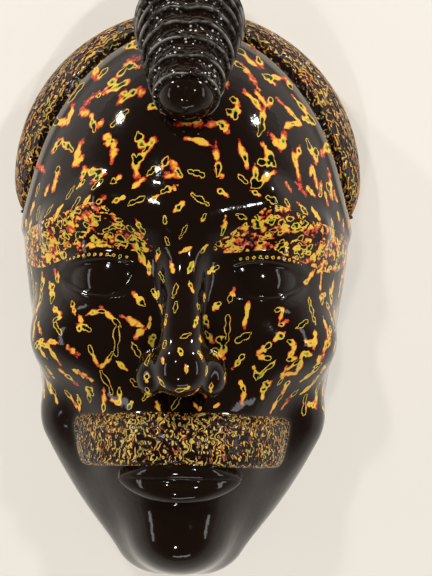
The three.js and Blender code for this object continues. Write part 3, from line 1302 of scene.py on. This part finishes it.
@dataclass
class FaceShell(Carving):
    """The face, from rim to rim, with its marks.

    Sizes are in millimetres, angles of strokes in radians, and spacings of rows in shares of the map.
    """

    columns: int = 292
    rows: int = 460
    column_spacing: Pair = (0.6, 0.4)  # in the middle, and how much more towards the rim
    row_spacing: Pair = (0.68, 0.32)
    row_shift: float = 0.12
    seam_height: float = -98.0
    sunk: float = 1.2  # the shell's moustache lies this far under the real one
    groove: float = 2.6
    groove_fillet: float = 2.0
    roll_height: float = 1.9
    roll_place: float = 8.0
    roll_width: float = 2.4
    # The wedge of crowded small rings over each eye
    wedge_inner: Rod = Rod((22, 14, 0), (56, 27, 0), 4, 14)
    wedge_outer: Rod = Rod((56, 27, 0), (92, 14, 0), 14, 14)
    wedge_edge: float = 1.0
    lid_border: Pair = (34.3, 35.4)
    # Borders between the zones: a height in the middle, and its fall per millimetre to the side
    forehead_border: Pair = (62.0, 0.12)
    brow_border: Pair = (36.0, 0.1)
    nose_half: float = 24.0
    nose_spreads_below: float = -40.0
    nose_spread: float = 0.2
    # Where the lacquer stays bare: this near to the hair, the eye's middle, the rim and the moustache
    bare_hair: float = 3.5
    bare_eye: float = 36.5
    bare_rim: float = 20.0
    bare_lip: float = 1.0
    bare_wedge: float = 0.05
    mark_seed: int = 11
    tries: int = 9000
    border: int = 6
    sample_step: float = 0.5
    least_way: float = 0.2
    # How arms leave a mark, with lengths in shares of the mark's
    bend: Pair = (-0.7, 0.7)
    from_end: float = 0.6
    arm_opening: Pair = (0.6, 1.3)
    arm_length: Pair = (0.45, 0.85)
    arm_bend: float = 0.5
    third_chance: float = 0.35
    third_opening: Pair = (1.6, 2.4)
    third_length: Pair = (0.3, 0.6)
    third_bend: float = -0.4
    swell: Swell = Swell()
    rubbing: Rubbing = Rubbing()
    # The row of dots over each lid's edge
    dots: int = 17
    dots_above: float = 2.2
    dots_turn: float = 0.95
    dot_radius: float = 1.15
    dot_depth: float = 1.7
    # Between marks, the tone goes in slow waves; a mark gives its own tone a little past its edge
    tone_waves: Pair = (7.0, 5.0)
    tone_margin: float = 0.3
    unrubbed: float = -1.0
    nearest: int = 3
    points: np.ndarray = field(init=False)

    def build(self) -> list[bpy.types.Object]:
        """Carves the shell and lays the marks on it.

        Returns:
            The shell as two pieces, whose seam runs under the moustache.
        """
        s, t = np.linspace(-1, 1, self.columns), np.linspace(-1, 1, self.rows)
        s = s * (self.column_spacing[0] + self.column_spacing[1] * s * s)
        t = t * (self.row_spacing[0] + self.row_spacing[1] * t * t) - self.row_shift * (1 - t * t) ** 2
        self.points = LINES.carve(self.form, *np.meshgrid(s, t, indexing="ij"))
        rub, tone = self.rubbed()
        # The crest of the thin roll carries a painted grey reflection
        values = {"rub": rub, "tone": tone, "dense": self.dense(), "painted_sheen_edge": self.on_roll()}
        seam = int(np.searchsorted(self.points[self.columns // 2, :, 1], self.seam_height))
        halves = {"upper_face": slice(seam, None), "lower_face": slice(None, seam + 1)}
        return [
            grid_piece(name, self.points, values, (slice(None), part)) for name, part in halves.items()
        ]

    def form(self, point: Point) -> np.ndarray:
        """The face with a thin roll and a groove along the hair.

        Args:
            point: Where to measure.

        Returns:
            The distances.
        """
        face = FORM.face(point, self.sunk)
        hair = FORM.hair(folded(point))
        face = face - self.roll_height * np.exp(-(((hair - self.roll_place) / self.roll_width) ** 2))
        return scoop(face, length(face, hair) - self.groove, self.groove_fillet)

    def on_roll(self) -> np.ndarray:
        """How near each vertex is to the crest of the thin roll, where a grey reflection is painted: 1
        on it and 0 at its foot.
        """
        hair = FORM.hair(folded(tuple(np.moveaxis(self.points, -1, 0))))
        return 1 - np.abs(hair - self.roll_place) / self.roll_width

    def dense(self) -> np.ndarray:
        """Where the small rings crowd together over the eyes.

        Returns:
            A share for each vertex, from 0 to 1.
        """
        x, y = np.abs(self.points[..., 0]), self.points[..., 1]
        flat = (x, y, np.zeros_like(x))
        wedge = np.minimum(self.wedge_inner.distance(flat), self.wedge_outer.distance(flat))
        off_eye = length(x - FORM.eye[0], y - FORM.eye[1], self.points[..., 2] - FORM.eye[2])
        inside = smooth_step(self.wedge_edge, -self.wedge_edge, wedge)
        return inside * smooth_step(*self.lid_border, off_eye)

    def zone_at(self, place: np.ndarray) -> Zone:
        """Which zone a place on the face is in.

        Args:
            place: The place, in millimetres.

        Returns:
            Its zone.
        """
        x, y, z = abs(place[0]), place[1], place[2]
        in_hair = FORM.hair(tuple(np.array([part]) for part in (x, y, z)))[0] < self.bare_hair
        by_eye = math.dist((x, y, z), FORM.eye) < self.bare_eye
        low = y < FORM.moustache_middle + FORM.moustache_above + self.bare_lip
        if in_hair or by_eye or low or z < self.bare_rim:
            return Zone.BARE
        if y > self.forehead_border[0] - self.forehead_border[1] * x:
            return Zone.FOREHEAD
        if y > self.brow_border[0] - self.brow_border[1] * x:
            return Zone.BROW
        if x < self.nose_half + max(0, (self.nose_spreads_below - y) * self.nose_spread):
            return Zone.NOSE
        return Zone.CHEEK

    def seeds(self, chance: np.random.Generator) -> list[tuple[int, int, Zone]]:
        """Scatters the middles of the marks, no closer than their zone's spacing.

        Args:
            chance: The seeded source of random numbers.

        Returns:
            Grid place and zone of each mark.
        """
        dense = self.dense()
        kept, places, gaps = [], np.empty((0, 3)), np.empty(0)
        columns = chance.integers(self.border, self.columns - self.border, self.tries)
        rows = chance.integers(self.border, self.rows - self.border, self.tries)
        for i, j in zip(columns, rows):
            zone = self.zone_at(self.points[i, j])
            if zone is Zone.BARE or dense[i, j] > self.bare_wedge:
                continue
            spacing = STYLES[zone].spacing
            gap = np.linalg.norm(places - self.points[i, j], axis=1)
            if np.any(gap < np.minimum(gaps, spacing)):
                continue
            places = np.vstack([places, self.points[i, j]])
            gaps = np.append(gaps, spacing)
            kept.append((int(i), int(j), zone))
        return kept

    def stroke(self, start: Pair, heading: float, reach: float, bend: float) -> np.ndarray:
        """Walks over the surface and bends as it goes.

        Args:
            start: Where to start, in grid steps.
            heading: Direction at the start, in radians from +X towards +Y.
            reach: Length of the walk.
            bend: Change of direction over the whole walk.

        Returns:
            The places passed, in grid steps, one row each.
        """
        place = np.array(start, float)
        places = [place]
        count = max(int(reach / self.sample_step), 2)
        for step in range(count):
            i = int(np.clip(place[0], 1, self.columns - 2))
            j = int(np.clip(place[1], 1, self.rows - 2))
            per_column = (self.points[i + 1, j] - self.points[i - 1, j]) / 2
            per_row = (self.points[i, j + 1] - self.points[i, j - 1]) / 2
            normal = np.cross(per_column, per_row)
            normal /= np.linalg.norm(normal)
            turned = heading + bend * (step / count - 0.5)
            way = np.array([math.cos(turned), math.sin(turned), 0.0])
            way -= normal * (way @ normal)
            way /= max(np.linalg.norm(way), self.least_way)
            grid = np.stack([per_column, per_row], 1)
            place = place + np.linalg.lstsq(grid, way * self.sample_step, rcond=None)[0]
            places.append(place)
        return np.array(places)

    def on_surface(self, places: np.ndarray) -> np.ndarray:
        """Points on the shell.

        Args:
            places: Where, in grid steps, one row each.

        Returns:
            The points, one row each.
        """
        # Just short of the last column and row, so that each place has a next one
        i = np.clip(places[:, 0], 0, self.columns - 1.001)
        j = np.clip(places[:, 1], 0, self.rows - 1.001)
        i0, j0 = i.astype(int), j.astype(int)
        u, v = (i - i0)[:, None], (j - j0)[:, None]
        p = self.points
        low = p[i0, j0] * (1 - u) + p[i0 + 1, j0] * u
        high = p[i0, j0 + 1] * (1 - u) + p[i0 + 1, j0 + 1] * u
        return low * (1 - v) + high * v

    def mark(
        self, chance: np.random.Generator, middle: tuple[int, int], style: MarkStyle
    ) -> list[Sample]:
        """One mark of one to three arms.

        Args:
            chance: The seeded source of random numbers.
            middle: Grid column and row of its middle.
            style: How marks look there.

        Returns:
            The mark's samples.
        """
        heading = style.heading if self.points[middle][0] > 0 else 180 - style.heading
        heading = math.radians(heading) + math.radians(chance.uniform(-style.scatter, style.scatter))
        reach = chance.uniform(*style.lengths)
        wide = chance.uniform(*style.half_width)
        tone = chance.uniform(*style.tone)
        hollow = chance.random() < style.hollow
        back = self.stroke(middle, heading + math.pi, reach / 2, chance.uniform(*self.bend))
        ahead = self.stroke(middle, heading, reach / 2, chance.uniform(*self.bend))
        arms = [np.concatenate([back[::-1], ahead[1:]])]
        if not hollow and chance.random() < style.branching:
            arms += self.side_arms(chance, back, ahead, heading, reach)
        samples = []
        for arm in arms:
            share = np.linspace(0, 1, len(arm)) if chance.random() < 0.5 else np.linspace(1, 0, len(arm))
            widths = wide * self.swell.along(chance, share)
            depths = self.rubbing.along(chance, share, hollow)
            samples += [Sample(*spot, tone) for spot in zip(self.on_surface(arm), widths, depths)]
        return samples

    def side_arms(
        self, chance: np.random.Generator, back: np.ndarray, ahead: np.ndarray,
        heading: float, reach: float,
    ) -> list[np.ndarray]:
        """One or two arms that leave a mark.

        Args:
            chance: The seeded source of random numbers.
            back: The half of the mark that runs back from its middle, in grid steps.
            ahead: The half that runs ahead.
            heading: Direction of the mark, in radians.
            reach: Length of the mark.

        Returns:
            The places that each arm passes, in grid steps.
        """
        root = back[-1] if chance.random() < self.from_end else ahead[len(ahead) // 2]
        way = heading + chance.choice([-1, 1]) * chance.uniform(*self.arm_opening)
        arms = [self.stroke(root, way, reach * chance.uniform(*self.arm_length), self.arm_bend)]
        if chance.random() < self.third_chance:
            way = heading + chance.choice([-1, 1]) * chance.uniform(*self.third_opening)
            third = reach * chance.uniform(*self.third_length)
            arms.append(self.stroke(ahead[-1], way, third, self.third_bend))
        return arms

    def lid_dots(self) -> list[Sample]:
        """Small rings in a row along the edge of each upper lid.

        Returns:
            One sample for each ring.
        """
        dots = []
        for turn in np.linspace(-self.dots_turn, self.dots_turn, self.dots):
            x, y, z = FORM.on_upper_lid(self.dots_above, turn)
            for side in (x, -x):
                dots.append(Sample(np.array([side, y, z]), self.dot_radius, self.dot_depth, tone=1.0))
        return dots

    def rubbed(self) -> tuple[np.ndarray, np.ndarray]:
        """How deep each vertex is rubbed by the marks, and how yellow the mark is.

        Returns:
            The depth, 0 at a mark's edge and above 0 inside it, and the tone from 0, red, to 1, yellow.
        """
        chance = np.random.default_rng(self.mark_seed)
        samples = []
        for i, j, zone in self.seeds(chance):
            samples += self.mark(chance, (i, j), STYLES[zone])
        samples += self.lid_dots()
        LOG.info("marks: %d samples", len(samples))
        tree = KDTree(len(samples))
        for number, sample in enumerate(samples):
            tree.insert(sample.point, number)
        tree.balance()
        flat = self.points.reshape(-1, 3)
        rub = np.full(len(flat), self.unrubbed)
        x, y = flat[:, 0] / self.tone_waves[0], flat[:, 1] / self.tone_waves[1]
        tone = 0.5 + 0.5 * np.sin(x + 1) * np.sin(y)
        for number, point in enumerate(flat):
            for _, index, distance in tree.find_n(point, self.nearest):
                sample = samples[index]
                deep = sample.depth * (1 - (distance / sample.half_width) ** 2)
                if deep > rub[number]:
                    rub[number] = deep
                    if deep > -self.tone_margin:
                        tone[number] = sample.tone
        shape = self.points.shape[:2]
        return rub.reshape(shape), tone.reshape(shape)


@dataclass
class HairBand(Carving):
    """The roll of short curls behind the forehead. Sizes are in millimetres, angles in degrees."""

    columns: int = 960
    rows: int = 150
    start_angle: float = -62.0
    highest_lift: float = 84.0
    lift_steps: int = 240
    least_lift: float = 0.02  # in radians
    tucked: float = 2.6  # how deep the inner edge goes into the face
    arc_share: float = 1.15
    relief: float = 0.75
    curls: Strands = Strands(4.4, 7.0, (4, 4), (2.7, 2.4), seed=5, thin=0.0, breaks=4.2, strongest=2.1)
    net: Strands = Strands(3.4, 4.4, (4, 3.2), (3.4, 2.2), seed=14, thin=0.1, breaks=2.2, strongest=1.2)
    curls_from: Pair = (0.52, 0.8)  # the curls are near the face, and the net is further out
    curls_waver: Pair = (0.08, 13.0)
    parting: float = 1.2
    tone: Patches = Patches((8, 5), lowest=-1.1, swing=2.4, seed=31)
    dull: Pair = (0.1, 0.75)  # on the curls, and how much more on the net
    groove_from: Pair = (0.3, 2.8)
    groove_depth: float = 2.2

    def build(self) -> list[bpy.types.Object]:
        """Carves the band as a grid, from one lower end over the crown to the other.

        Returns:
            The band as two pieces, whose seam is hidden by the topknot.
        """
        turn = np.radians(np.linspace(self.start_angle, 180 - self.start_angle, self.columns))
        radii = FORM.hair_roll.radii
        x = np.cos(turn) * radii[0]
        y = np.sin(turn) * np.where(np.sin(turn) > 0, radii[1], FORM.hair_drop)
        lowest = -math.asin(RIM_DEPTH / radii[2])
        inner = self.where_it_meets_the_face(x, y, lowest)
        share = np.linspace(0, 1, self.rows)
        lift = lowest + (inner[:, None] - lowest) * share
        points = self.at(x[:, None], y[:, None], lift)
        steps = np.linalg.norm(np.diff(points, axis=0), axis=-1)[:, self.rows // 2]
        along = np.concatenate([[0], np.cumsum(steps)])[:, None] + np.zeros_like(lift)
        across = lift * radii[2] * self.arc_share
        waver = self.curls_waver[0] * np.sin(along / self.curls_waver[1])
        near = smooth_step(*self.curls_from, share + waver)
        curls = self.curls.rub(along, across) - self.parting * (1 - near)
        rub = np.maximum(curls, self.net.rub(along, across) - self.parting * near)
        points = self.with_groove(lowered(points, self.relief * self.curls.gaps(rub)))
        points[:, 0, 2] = 0
        points[..., 2] = np.maximum(points[..., 2], 0)
        dull = self.dull[0] + self.dull[1] * (1 - near)
        values = {"rub": rub, "tone": self.tone.at(along, across), "dull": dull}
        middle = self.columns // 2
        halves = {"hair_band_right": slice(None, middle + 1), "hair_band_left": slice(middle, None)}
        return [grid_piece(name, points, values, (part, slice(None))) for name, part in halves.items()]

    def at(self, x: np.ndarray, y: np.ndarray, lift: np.ndarray) -> np.ndarray:
        """Points on the smooth roll.

        Args:
            x: Places on its widest line.
            y: Places on its widest line, from its middle.
            lift: Angles over that line, in radians.

        Returns:
            The points.
        """
        z = RIM_DEPTH + FORM.hair_roll.radii[2] * np.sin(lift)
        parts = np.broadcast_arrays(x * np.cos(lift), FORM.hair_line + y * np.cos(lift), z)
        return np.stack(parts, -1)

    def where_it_meets_the_face(self, x: np.ndarray, y: np.ndarray, lowest: float) -> np.ndarray:
        """The lift at which the roll goes into the face, for each place along it.

        Args:
            x: Widest line of the roll.
            y: Widest line of the roll, from its middle.
            lowest: The lift at the rim.

        Returns:
            One lift for each place.
        """
        lifts = np.linspace(lowest, math.radians(self.highest_lift), self.lift_steps)
        points = self.at(x[:, None], y[:, None], lifts[None, :])
        buried = FORM.face(tuple(np.moveaxis(points, -1, 0))) < -self.tucked
        first = np.where(buried.any(1), buried.argmax(1), len(lifts) - 1)
        return np.maximum(lifts[first], lowest + self.least_lift)

    def with_groove(self, points: np.ndarray) -> np.ndarray:
        """Draws the roll in where the face is near, so that a groove parts the two.

        Args:
            points: The roll.

        Returns:
            The roll with its groove.
        """
        face = FORM.face(tuple(np.moveaxis(points, -1, 0)))
        return lowered(points, (1 - smooth_step(*self.groove_from, face)) * self.groove_depth)


@dataclass
class Moustache(Carving):
    """The band of fine curls over the mouth. Sizes are in millimetres."""

    columns: int = 460
    rows: int = 190
    # How far the lines reach past the band: at its ends, above and below
    past_end: float = 4.0
    past_top: float = 5.0
    past_foot: float = 2.0
    start_height: float = 190.0
    steps: int = 120
    into_head: float = 4.0
    relief: float = 0.6
    curls: Strands = Strands(
        2.8, 6.0, (3.2, 3.2), (1.9, 1.8), seed=8, thin=0.05, breaks=4.6, strongest=1.6
    )
    tone: Patches = Patches((4, 4), lowest=-1.2, swing=3.0, seed=33)
    dull: Pair = (0.1, 0.7)  # in the middle, and how much more at the ends
    dull_from: Pair = (0.75, 1.0)

    def build(self) -> list[bpy.types.Object]:
        """Drops lines on the band, spreads its rows evenly over the surface and carves the curls.

        Returns:
            The band as a piece.
        """
        reach = FORM.moustache_half + self.past_end
        share = np.linspace(-1, 1, self.rows * 2)
        x = np.linspace(-reach, reach, self.columns)[:, None] + np.zeros(len(share))
        above, below = FORM.moustache_above + self.past_top, FORM.moustache_below + self.past_foot
        y = FORM.moustache_at(x) + np.where(share > 0, share * above, share * below)
        points = self.spread(self.carve(x, y))
        down = self.run(points, 1)
        down = down - down[:, -1:]
        across = self.run(points, 0)[:, self.rows // 2][:, None] + np.zeros_like(down)
        rub = self.curls.rub(down, across)
        points = lowered(points, self.relief * self.curls.gaps(rub))
        out = np.abs(points[..., 0]) / FORM.moustache_half
        dull = self.dull[0] + self.dull[1] * smooth_step(*self.dull_from, out)
        values = {"rub": rub, "tone": self.tone.at(across, down), "dull": dull}
        return [grid_piece("moustache", points, values)]

    @staticmethod
    def run(points: np.ndarray, axis: int) -> np.ndarray:
        """Millimetres run over the surface along one axis of the grid."""
        steps = np.linalg.norm(np.diff(points, axis=axis, prepend=points.take([0], axis)), axis=-1)
        return np.cumsum(steps, axis)

    def spread(self, points: np.ndarray) -> np.ndarray:
        """Places the rows of each column at even distances over the surface.

        Args:
            points: Columns of points.

        Returns:
            Columns with the wanted number of rows.
        """
        run = self.run(points, 1)
        even = np.empty((self.columns, self.rows, 3))
        for number, column in enumerate(points):
            wanted = np.linspace(0, run[number, -1], self.rows)
            for axis in range(3):
                even[number, :, axis] = np.interp(wanted, run[number], column[:, axis])
        return even

    def carve(self, x: np.ndarray, y: np.ndarray) -> np.ndarray:
        """Drops straight lines on the band, or a little into the head where they miss it.

        Args:
            x: Places of the lines.
            y: Places of the lines.

        Returns:
            The points that they reach.
        """
        z = np.full(x.shape, self.start_height)
        for _ in range(self.steps):
            p = (np.abs(x), y, z)
            head = FORM.head(p)
            z = z - np.minimum(FORM.moustache(p, head), head + self.into_head) * LINES.step_share
        return np.stack([x, y, z], -1)


@dataclass
class Topknot(Carving):
    """A fat horn of hair that leaves the crown and curls forward.

    Its rings are shallow cups, each drawn in at its root and widest at its lip. A bud sits in the
    last one.
    """

    root: Triple = (0.0, 157.1, 30.0)
    bend: Triple = (0.0, 171.0, 79.0)
    tip: Triple = (0.0, 104.5, 136.0)
    curve_steps: int = 2001
    rings: int = 10
    root_radius: float = 37.0
    tip_radius: float = 21.0
    taper: float = 2.0
    ring_step: float = 0.11
    lip_place: float = 0.94
    # How far a ring is drawn in, by its share from root to lip
    ring_profile: tuple[Pair, ...] = ((0, 1), (0.45, 0.6), (0.94, 0), (1, 1))
    bud_radius: float = 17.0
    bud_length: float = 0.8
    parting_depth: float = 0.17
    parting_width: float = 0.25
    parting_fade: float = 0.7
    sides: int = 240
    bud_rows: int = 40
    fine_from: float = 0.85
    coarse_rows: int = 12
    fine_rows: int = 18
    inset: float = 0.35
    least_radius: float = 0.02
    unevenness: float = 0.45
    # Waves round a ring: how many, how far each ring turns them in radians, and their share
    waves: tuple[Triple, ...] = ((3, 2.1, 1.0), (7, 4.3, 0.7))
    even_from: Pair = (0.97, 1.0)
    lip_bulge: float = 0.016
    lip_width: float = 0.014
    dimpled_off_lip: Pair = (0.05, 0.3)

    def curve(self, share: np.ndarray) -> tuple[np.ndarray, np.ndarray]:
        """Points on the horn's middle line, at even distances for even shares, and its directions there.

        Args:
            share: Places from 0 at the root to 1 at the tip.

        Returns:
            Points and unit directions, one row each.
        """
        root, bend, tip = map(np.array, (self.root, self.bend, self.tip))
        fine = np.linspace(0, 1, self.curve_steps)[:, None]
        path = (1 - fine) ** 2 * root + 2 * fine * (1 - fine) * bend + fine * fine * tip
        run = np.concatenate([[0], np.cumsum(np.linalg.norm(np.diff(path, axis=0), axis=1))])
        t = np.interp(share, run / run[-1], fine[:, 0])[:, None]
        point = (1 - t) ** 2 * root + 2 * t * (1 - t) * bend + t * t * tip
        way = (1 - t) * (bend - root) + t * (tip - bend)
        return point, way / np.linalg.norm(way, axis=1, keepdims=True)

    def rows(self) -> np.ndarray:
        """Where the rows of vertices lie: close together at each lip, and evenly over the bud.

        Returns:
            Places from 0 at the root over 1 at the last ring to 2 at the bud's tip.
        """
        coarse = np.linspace(0, self.fine_from, self.coarse_rows, endpoint=False)
        fine = np.linspace(self.fine_from, 1, self.fine_rows, endpoint=False)
        rings = (np.arange(self.rings)[:, None] + np.concatenate([coarse, fine])).ravel() / self.rings
        return np.concatenate([rings, 1 + np.linspace(0, 1, self.bud_rows)])

    def build(self) -> list[bpy.types.Object]:
        """Turns the ringed profile and bends it along the middle line.

        Returns:
            The topknot as a piece.
        """
        along = self.rows()
        turn = np.linspace(0, 2 * math.pi, self.sides, endpoint=False)
        radius, lift, lip = self.profile(along)
        share = np.minimum(along, 1)
        point, way = self.curve(share)
        across = np.array([1.0, 0, 0])
        spoke = np.cos(turn)[:, None] * across + np.sin(turn)[:, None] * np.cross(across, way)[:, None]
        off_parting = np.abs(np.angle(np.exp(1j * (turn + math.pi / 2)))) / self.parting_width
        parting = self.parting_depth * np.exp(-(off_parting**2))
        radii = radius[:, None] * (1 - parting * (1 - self.parting_fade * share[:, None])) - self.inset
        radii = np.maximum(radii, self.least_radius)
        uneven = way[:, None] * self.uneven(along, turn)[..., None]
        centre = (point + way * lift[:, None])[:, None] + uneven
        points = (centre + radii[..., None] * spoke).reshape(-1, 3)
        dimpled = (1 - smooth_step(*self.dimpled_off_lip, lip)) * (along < 1)
        # The lips carry a painted grey highlight
        values = {"painted_sheen_edge": np.repeat(lip, self.sides), "dimpled": np.repeat(dimpled, self.sides)}
        faces = grid_faces(len(along), self.sides, ring=True)
        return [make_piece("topknot", *trimmed(points, faces, values))]

    def uneven(self, along: np.ndarray, turn: np.ndarray) -> np.ndarray:
        """How far each vertex is moved along the horn, so that no ring is quite true.

        Args:
            along: Places along the horn.
            turn: Angles round it, in radians.

        Returns:
            Millimetres, one row for each place.
        """
        ring = (along * self.rings)[:, None]
        waves = sum(share * np.sin(count * turn + twist * ring) for count, twist, share in self.waves)
        return self.unevenness * waves * (1 - smooth_step(*self.even_from, along))[:, None]

    def profile(self, along: np.ndarray) -> tuple[np.ndarray, np.ndarray, np.ndarray]:
        """Radius of the horn, how far each row stands beyond its middle line, and where the lips are.

        Args:
            along: Places from 0 at the root over 1 at the last ring to 2 at the bud's tip.

        Returns:
            Radii, extra lengths, and a share that is 1 on the crest of a lip.
        """
        phase = np.where(along < 1, (along * self.rings) % 1, 0.5)
        drawn_in = np.interp(phase, *zip(*self.ring_profile))
        lip = np.exp(-(((phase - self.lip_place) / self.lip_width) ** 2)) * (along < 1)
        growth = (self.tip_radius - self.root_radius) * np.minimum(along, 1) ** self.taper
        body = (self.root_radius + growth) * (1 - self.ring_step * drawn_in + self.lip_bulge * (lip - 1))
        rise = np.clip(along - 1, 0, 1)
        bud = (self.bud_radius + self.inset) * np.cos(rise * math.pi / 2)
        lift = np.sin(rise * math.pi / 2) * self.bud_radius * self.bud_length
        return np.where(along >= 1, bud, body), lift, lip


@dataclass
class HollowBack(Carving):
    """The hollowed back with its flat rim, left as the gouge left it."""

    columns: int = 120
    rows: int = 168
    gouge_depth: float = 0.7
    uncut_rim: float = 12.0  # the cuts get shallower over this height
    cuts: GougeCuts = GougeCuts(long=21.0, wide=11.0, seed=21)

    def build(self) -> list[bpy.types.Object]:
        """Carves the hollow and lays the rim round it.

        Returns:
            The back as a piece.
        """
        s, t = np.linspace(-1, 1, self.columns), np.linspace(-1, 1, self.rows)
        across, along = np.meshgrid(s, t, indexing="ij")
        inside = LINES.carve(FORM.hollow, across, along)
        cut = self.cuts.depth(inside[..., 1], inside[..., 0] + inside[..., 2])
        rise = smooth_step(0, self.uncut_rim, inside[..., 2])
        inside = lowered(inside, self.gouge_depth * (1 - cut) * rise)
        loop = self.loop()
        outside = LINES.carve(FORM.front, across[loop], along[loop])
        outside[:, 2] = 0
        points = np.concatenate([inside.reshape(-1, 3), outside])
        faces = grid_faces(self.columns, self.rows)[:, ::-1]
        inner = loop[0] * self.rows + loop[1]
        outer = len(points) - len(outside) + np.arange(len(outside))
        rim = np.stack([inner, np.roll(inner, -1), np.roll(outer, -1), outer], -1)
        return [make_piece("hollow_back", points, np.concatenate([faces, rim]), {})]

    def loop(self) -> tuple[np.ndarray, np.ndarray]:
        """The grid's border, anticlockwise.

        Returns:
            Its columns and its rows.
        """
        last, top = self.columns - 1, self.rows - 1
        right, up_side = np.arange(last), np.arange(top)
        i = np.concatenate([right, np.full(top, last), last - right, np.zeros(top, int)])
        j = np.concatenate([np.zeros(last, int), up_side, np.full(last, top), top - up_side])
        return i, j


@dataclass(frozen=True)
class Lamp:
    """A softbox that faces the mask: its place and its size in millimetres, its power in watts."""

    name: str
    place: Triple
    size: Pair
    power: float

    def hang(self, aim_height: float) -> None:
        """Adds the lamp to the scene.

        Args:
            aim_height: How high over the floor's middle it points.
        """
        light = bpy.data.lights.new(self.name, "AREA")
        light.shape = "RECTANGLE"
        light.size, light.size_y = self.size[0] * MM, self.size[1] * MM
        light.energy = self.power
        lamp = bpy.data.objects.new(self.name, light)
        lamp.location = Vector(self.place) * MM
        aim = Vector((0, 0, aim_height)) * MM - lamp.location
        lamp.rotation_euler = aim.to_track_quat("-Z", "Y").to_euler()
        bpy.context.scene.collection.objects.link(lamp)


@dataclass(frozen=True)
class Studio:
    """Plain pale floor, soft lights and the camera that looks down on the lying mask."""

    image: tuple[int, int] = (432, 576)
    millimetres_per_pixel: float = 0.656
    mid_height: float = 30.0
    centre_pixel: Pair = (185.5, 272.0)
    distance: float = 1350.0
    lens: float = 85.0
    roll: float = 1.0
    floor_half: float = 900.0
    air: str = "#F8EEE2"
    overhead: float = 0.1
    by_floor: float = 0.72
    falloff: float = 5.0
    lamps: tuple[Lamp, ...] = (
        Lamp("key_spot", (-440, 600, 1150), (90, 90), 3.6),
        Lamp("second_spot", (600, 240, 1200), (80, 80), 3.2),
        Lamp("third_spot", (-180, -760, 1130), (80, 80), 3.4),
        Lamp("left_low_spot", (-1440, 1520, 480), (120, 120), 19.0),
        Lamp("right_low_spot", (1440, 1520, 480), (120, 120), 19.0),
        Lamp("left_strip", (-1900, 0, 850), (1350, 220), 5.0),
        Lamp("right_strip", (1900, 180, 850), (1350, 220), 5.0),
        Lamp("bottom_strip", (230, -1900, 940), (1350, 220), 5.4),
    )

    def build(self) -> None:
        """Sets up floor, world, lamps and camera."""
        self.floor()
        self.world()
        for lamp in self.lamps:
            lamp.hang(self.mid_height)
        self.camera()

    def floor(self) -> None:
        """A wide sheet of backdrop paper under the mask."""
        half = self.floor_half * MM
        mesh = bpy.data.meshes.new("floor")
        corners = [(-half, -half, 0), (half, -half, 0), (half, half, 0), (-half, half, 0)]
        mesh.from_pydata(corners, [], [(0, 1, 2, 3)])
        floor = bpy.data.objects.new("floor", mesh)
        bpy.context.scene.collection.objects.link(floor)
        mesh.materials.append(BackdropPaper().make())

    def world(self) -> None:
        """Pale air, bright near the floor and dim overhead, so that black that faces up stays deep."""
        world = bpy.data.worlds.new("studio")
        world.use_nodes = True
        add = partial(add_node, world.node_tree)
        rise = add("SeparateXYZ", {0: add("TexCoord", output="Generated")}, "Z")
        low = add("MapRange", {"Value": rise, "To Min": 1.0, "To Max": 0.0})
        bent = add("Math", {0: low, 1: self.falloff}, operation="POWER")
        strength = add("Math", {0: bent, 1: self.by_floor, 2: self.overhead}, operation="MULTIPLY_ADD")
        back = world.node_tree.nodes["Background"]
        back.inputs["Color"].default_value = linear(self.air)
        world.node_tree.links.new(strength, back.inputs["Strength"])
        bpy.context.scene.world = world
        bpy.context.scene.view_settings.view_transform = "Standard"

    def camera(self) -> None:
        """Frames the mask as the photograph does, by its scale at the middle of the mask's depth."""
        wide, high = self.image
        camera = bpy.data.cameras.new("camera")
        camera.lens = self.lens
        camera.sensor_fit = "VERTICAL"
        camera.sensor_height = self.lens * high * self.millimetres_per_pixel / self.distance
        holder = bpy.data.objects.new("camera", camera)
        x = (wide / 2 - self.centre_pixel[0]) * self.millimetres_per_pixel
        y = (self.centre_pixel[1] - high / 2) * self.millimetres_per_pixel
        holder.location = Vector((x, y, self.mid_height + self.distance)) * MM
        holder.rotation_euler = (0, 0, math.radians(self.roll))
        bpy.context.scene.collection.objects.link(holder)
        bpy.context.scene.camera = holder


def main() -> None:
    """Builds and dresses each part of the mask."""
    logging.basicConfig(level=logging.INFO, format="%(message)s")
    Studio().build()
    on_face = RubbedLacquer("rubbed_lacquer_face", dense_zone=True)
    on_hair = RubbedLacquer(
        "rubbed_lacquer_hair", waver=1.4, waver_depth=0.15, brush_size=2.6, brush_depth=0.5,
        dark_red="#6A2216", red="#C4452E", orange="#D9822E", yellow="#E0B63C", green="#9C9E3A",
    )
    on_moustache = RubbedLacquer(
        "rubbed_lacquer_moustache", waver=0.9, waver_depth=0.15, brush_size=2.0, brush_depth=0.5,
        dark_red="#6A3018", red="#B4552E", orange="#D98F3C", yellow="#E0BC54", green="#B3A24A",
    )
    parts = [
        FaceShell(on_face), HairBand(on_hair), Moustache(on_moustache),
        Topknot(DimpledLacquer()), HollowBack(GougedWood()),
    ]
    for part in parts:
        part.dress(part.build())


if __name__ == "__main__":
    main()
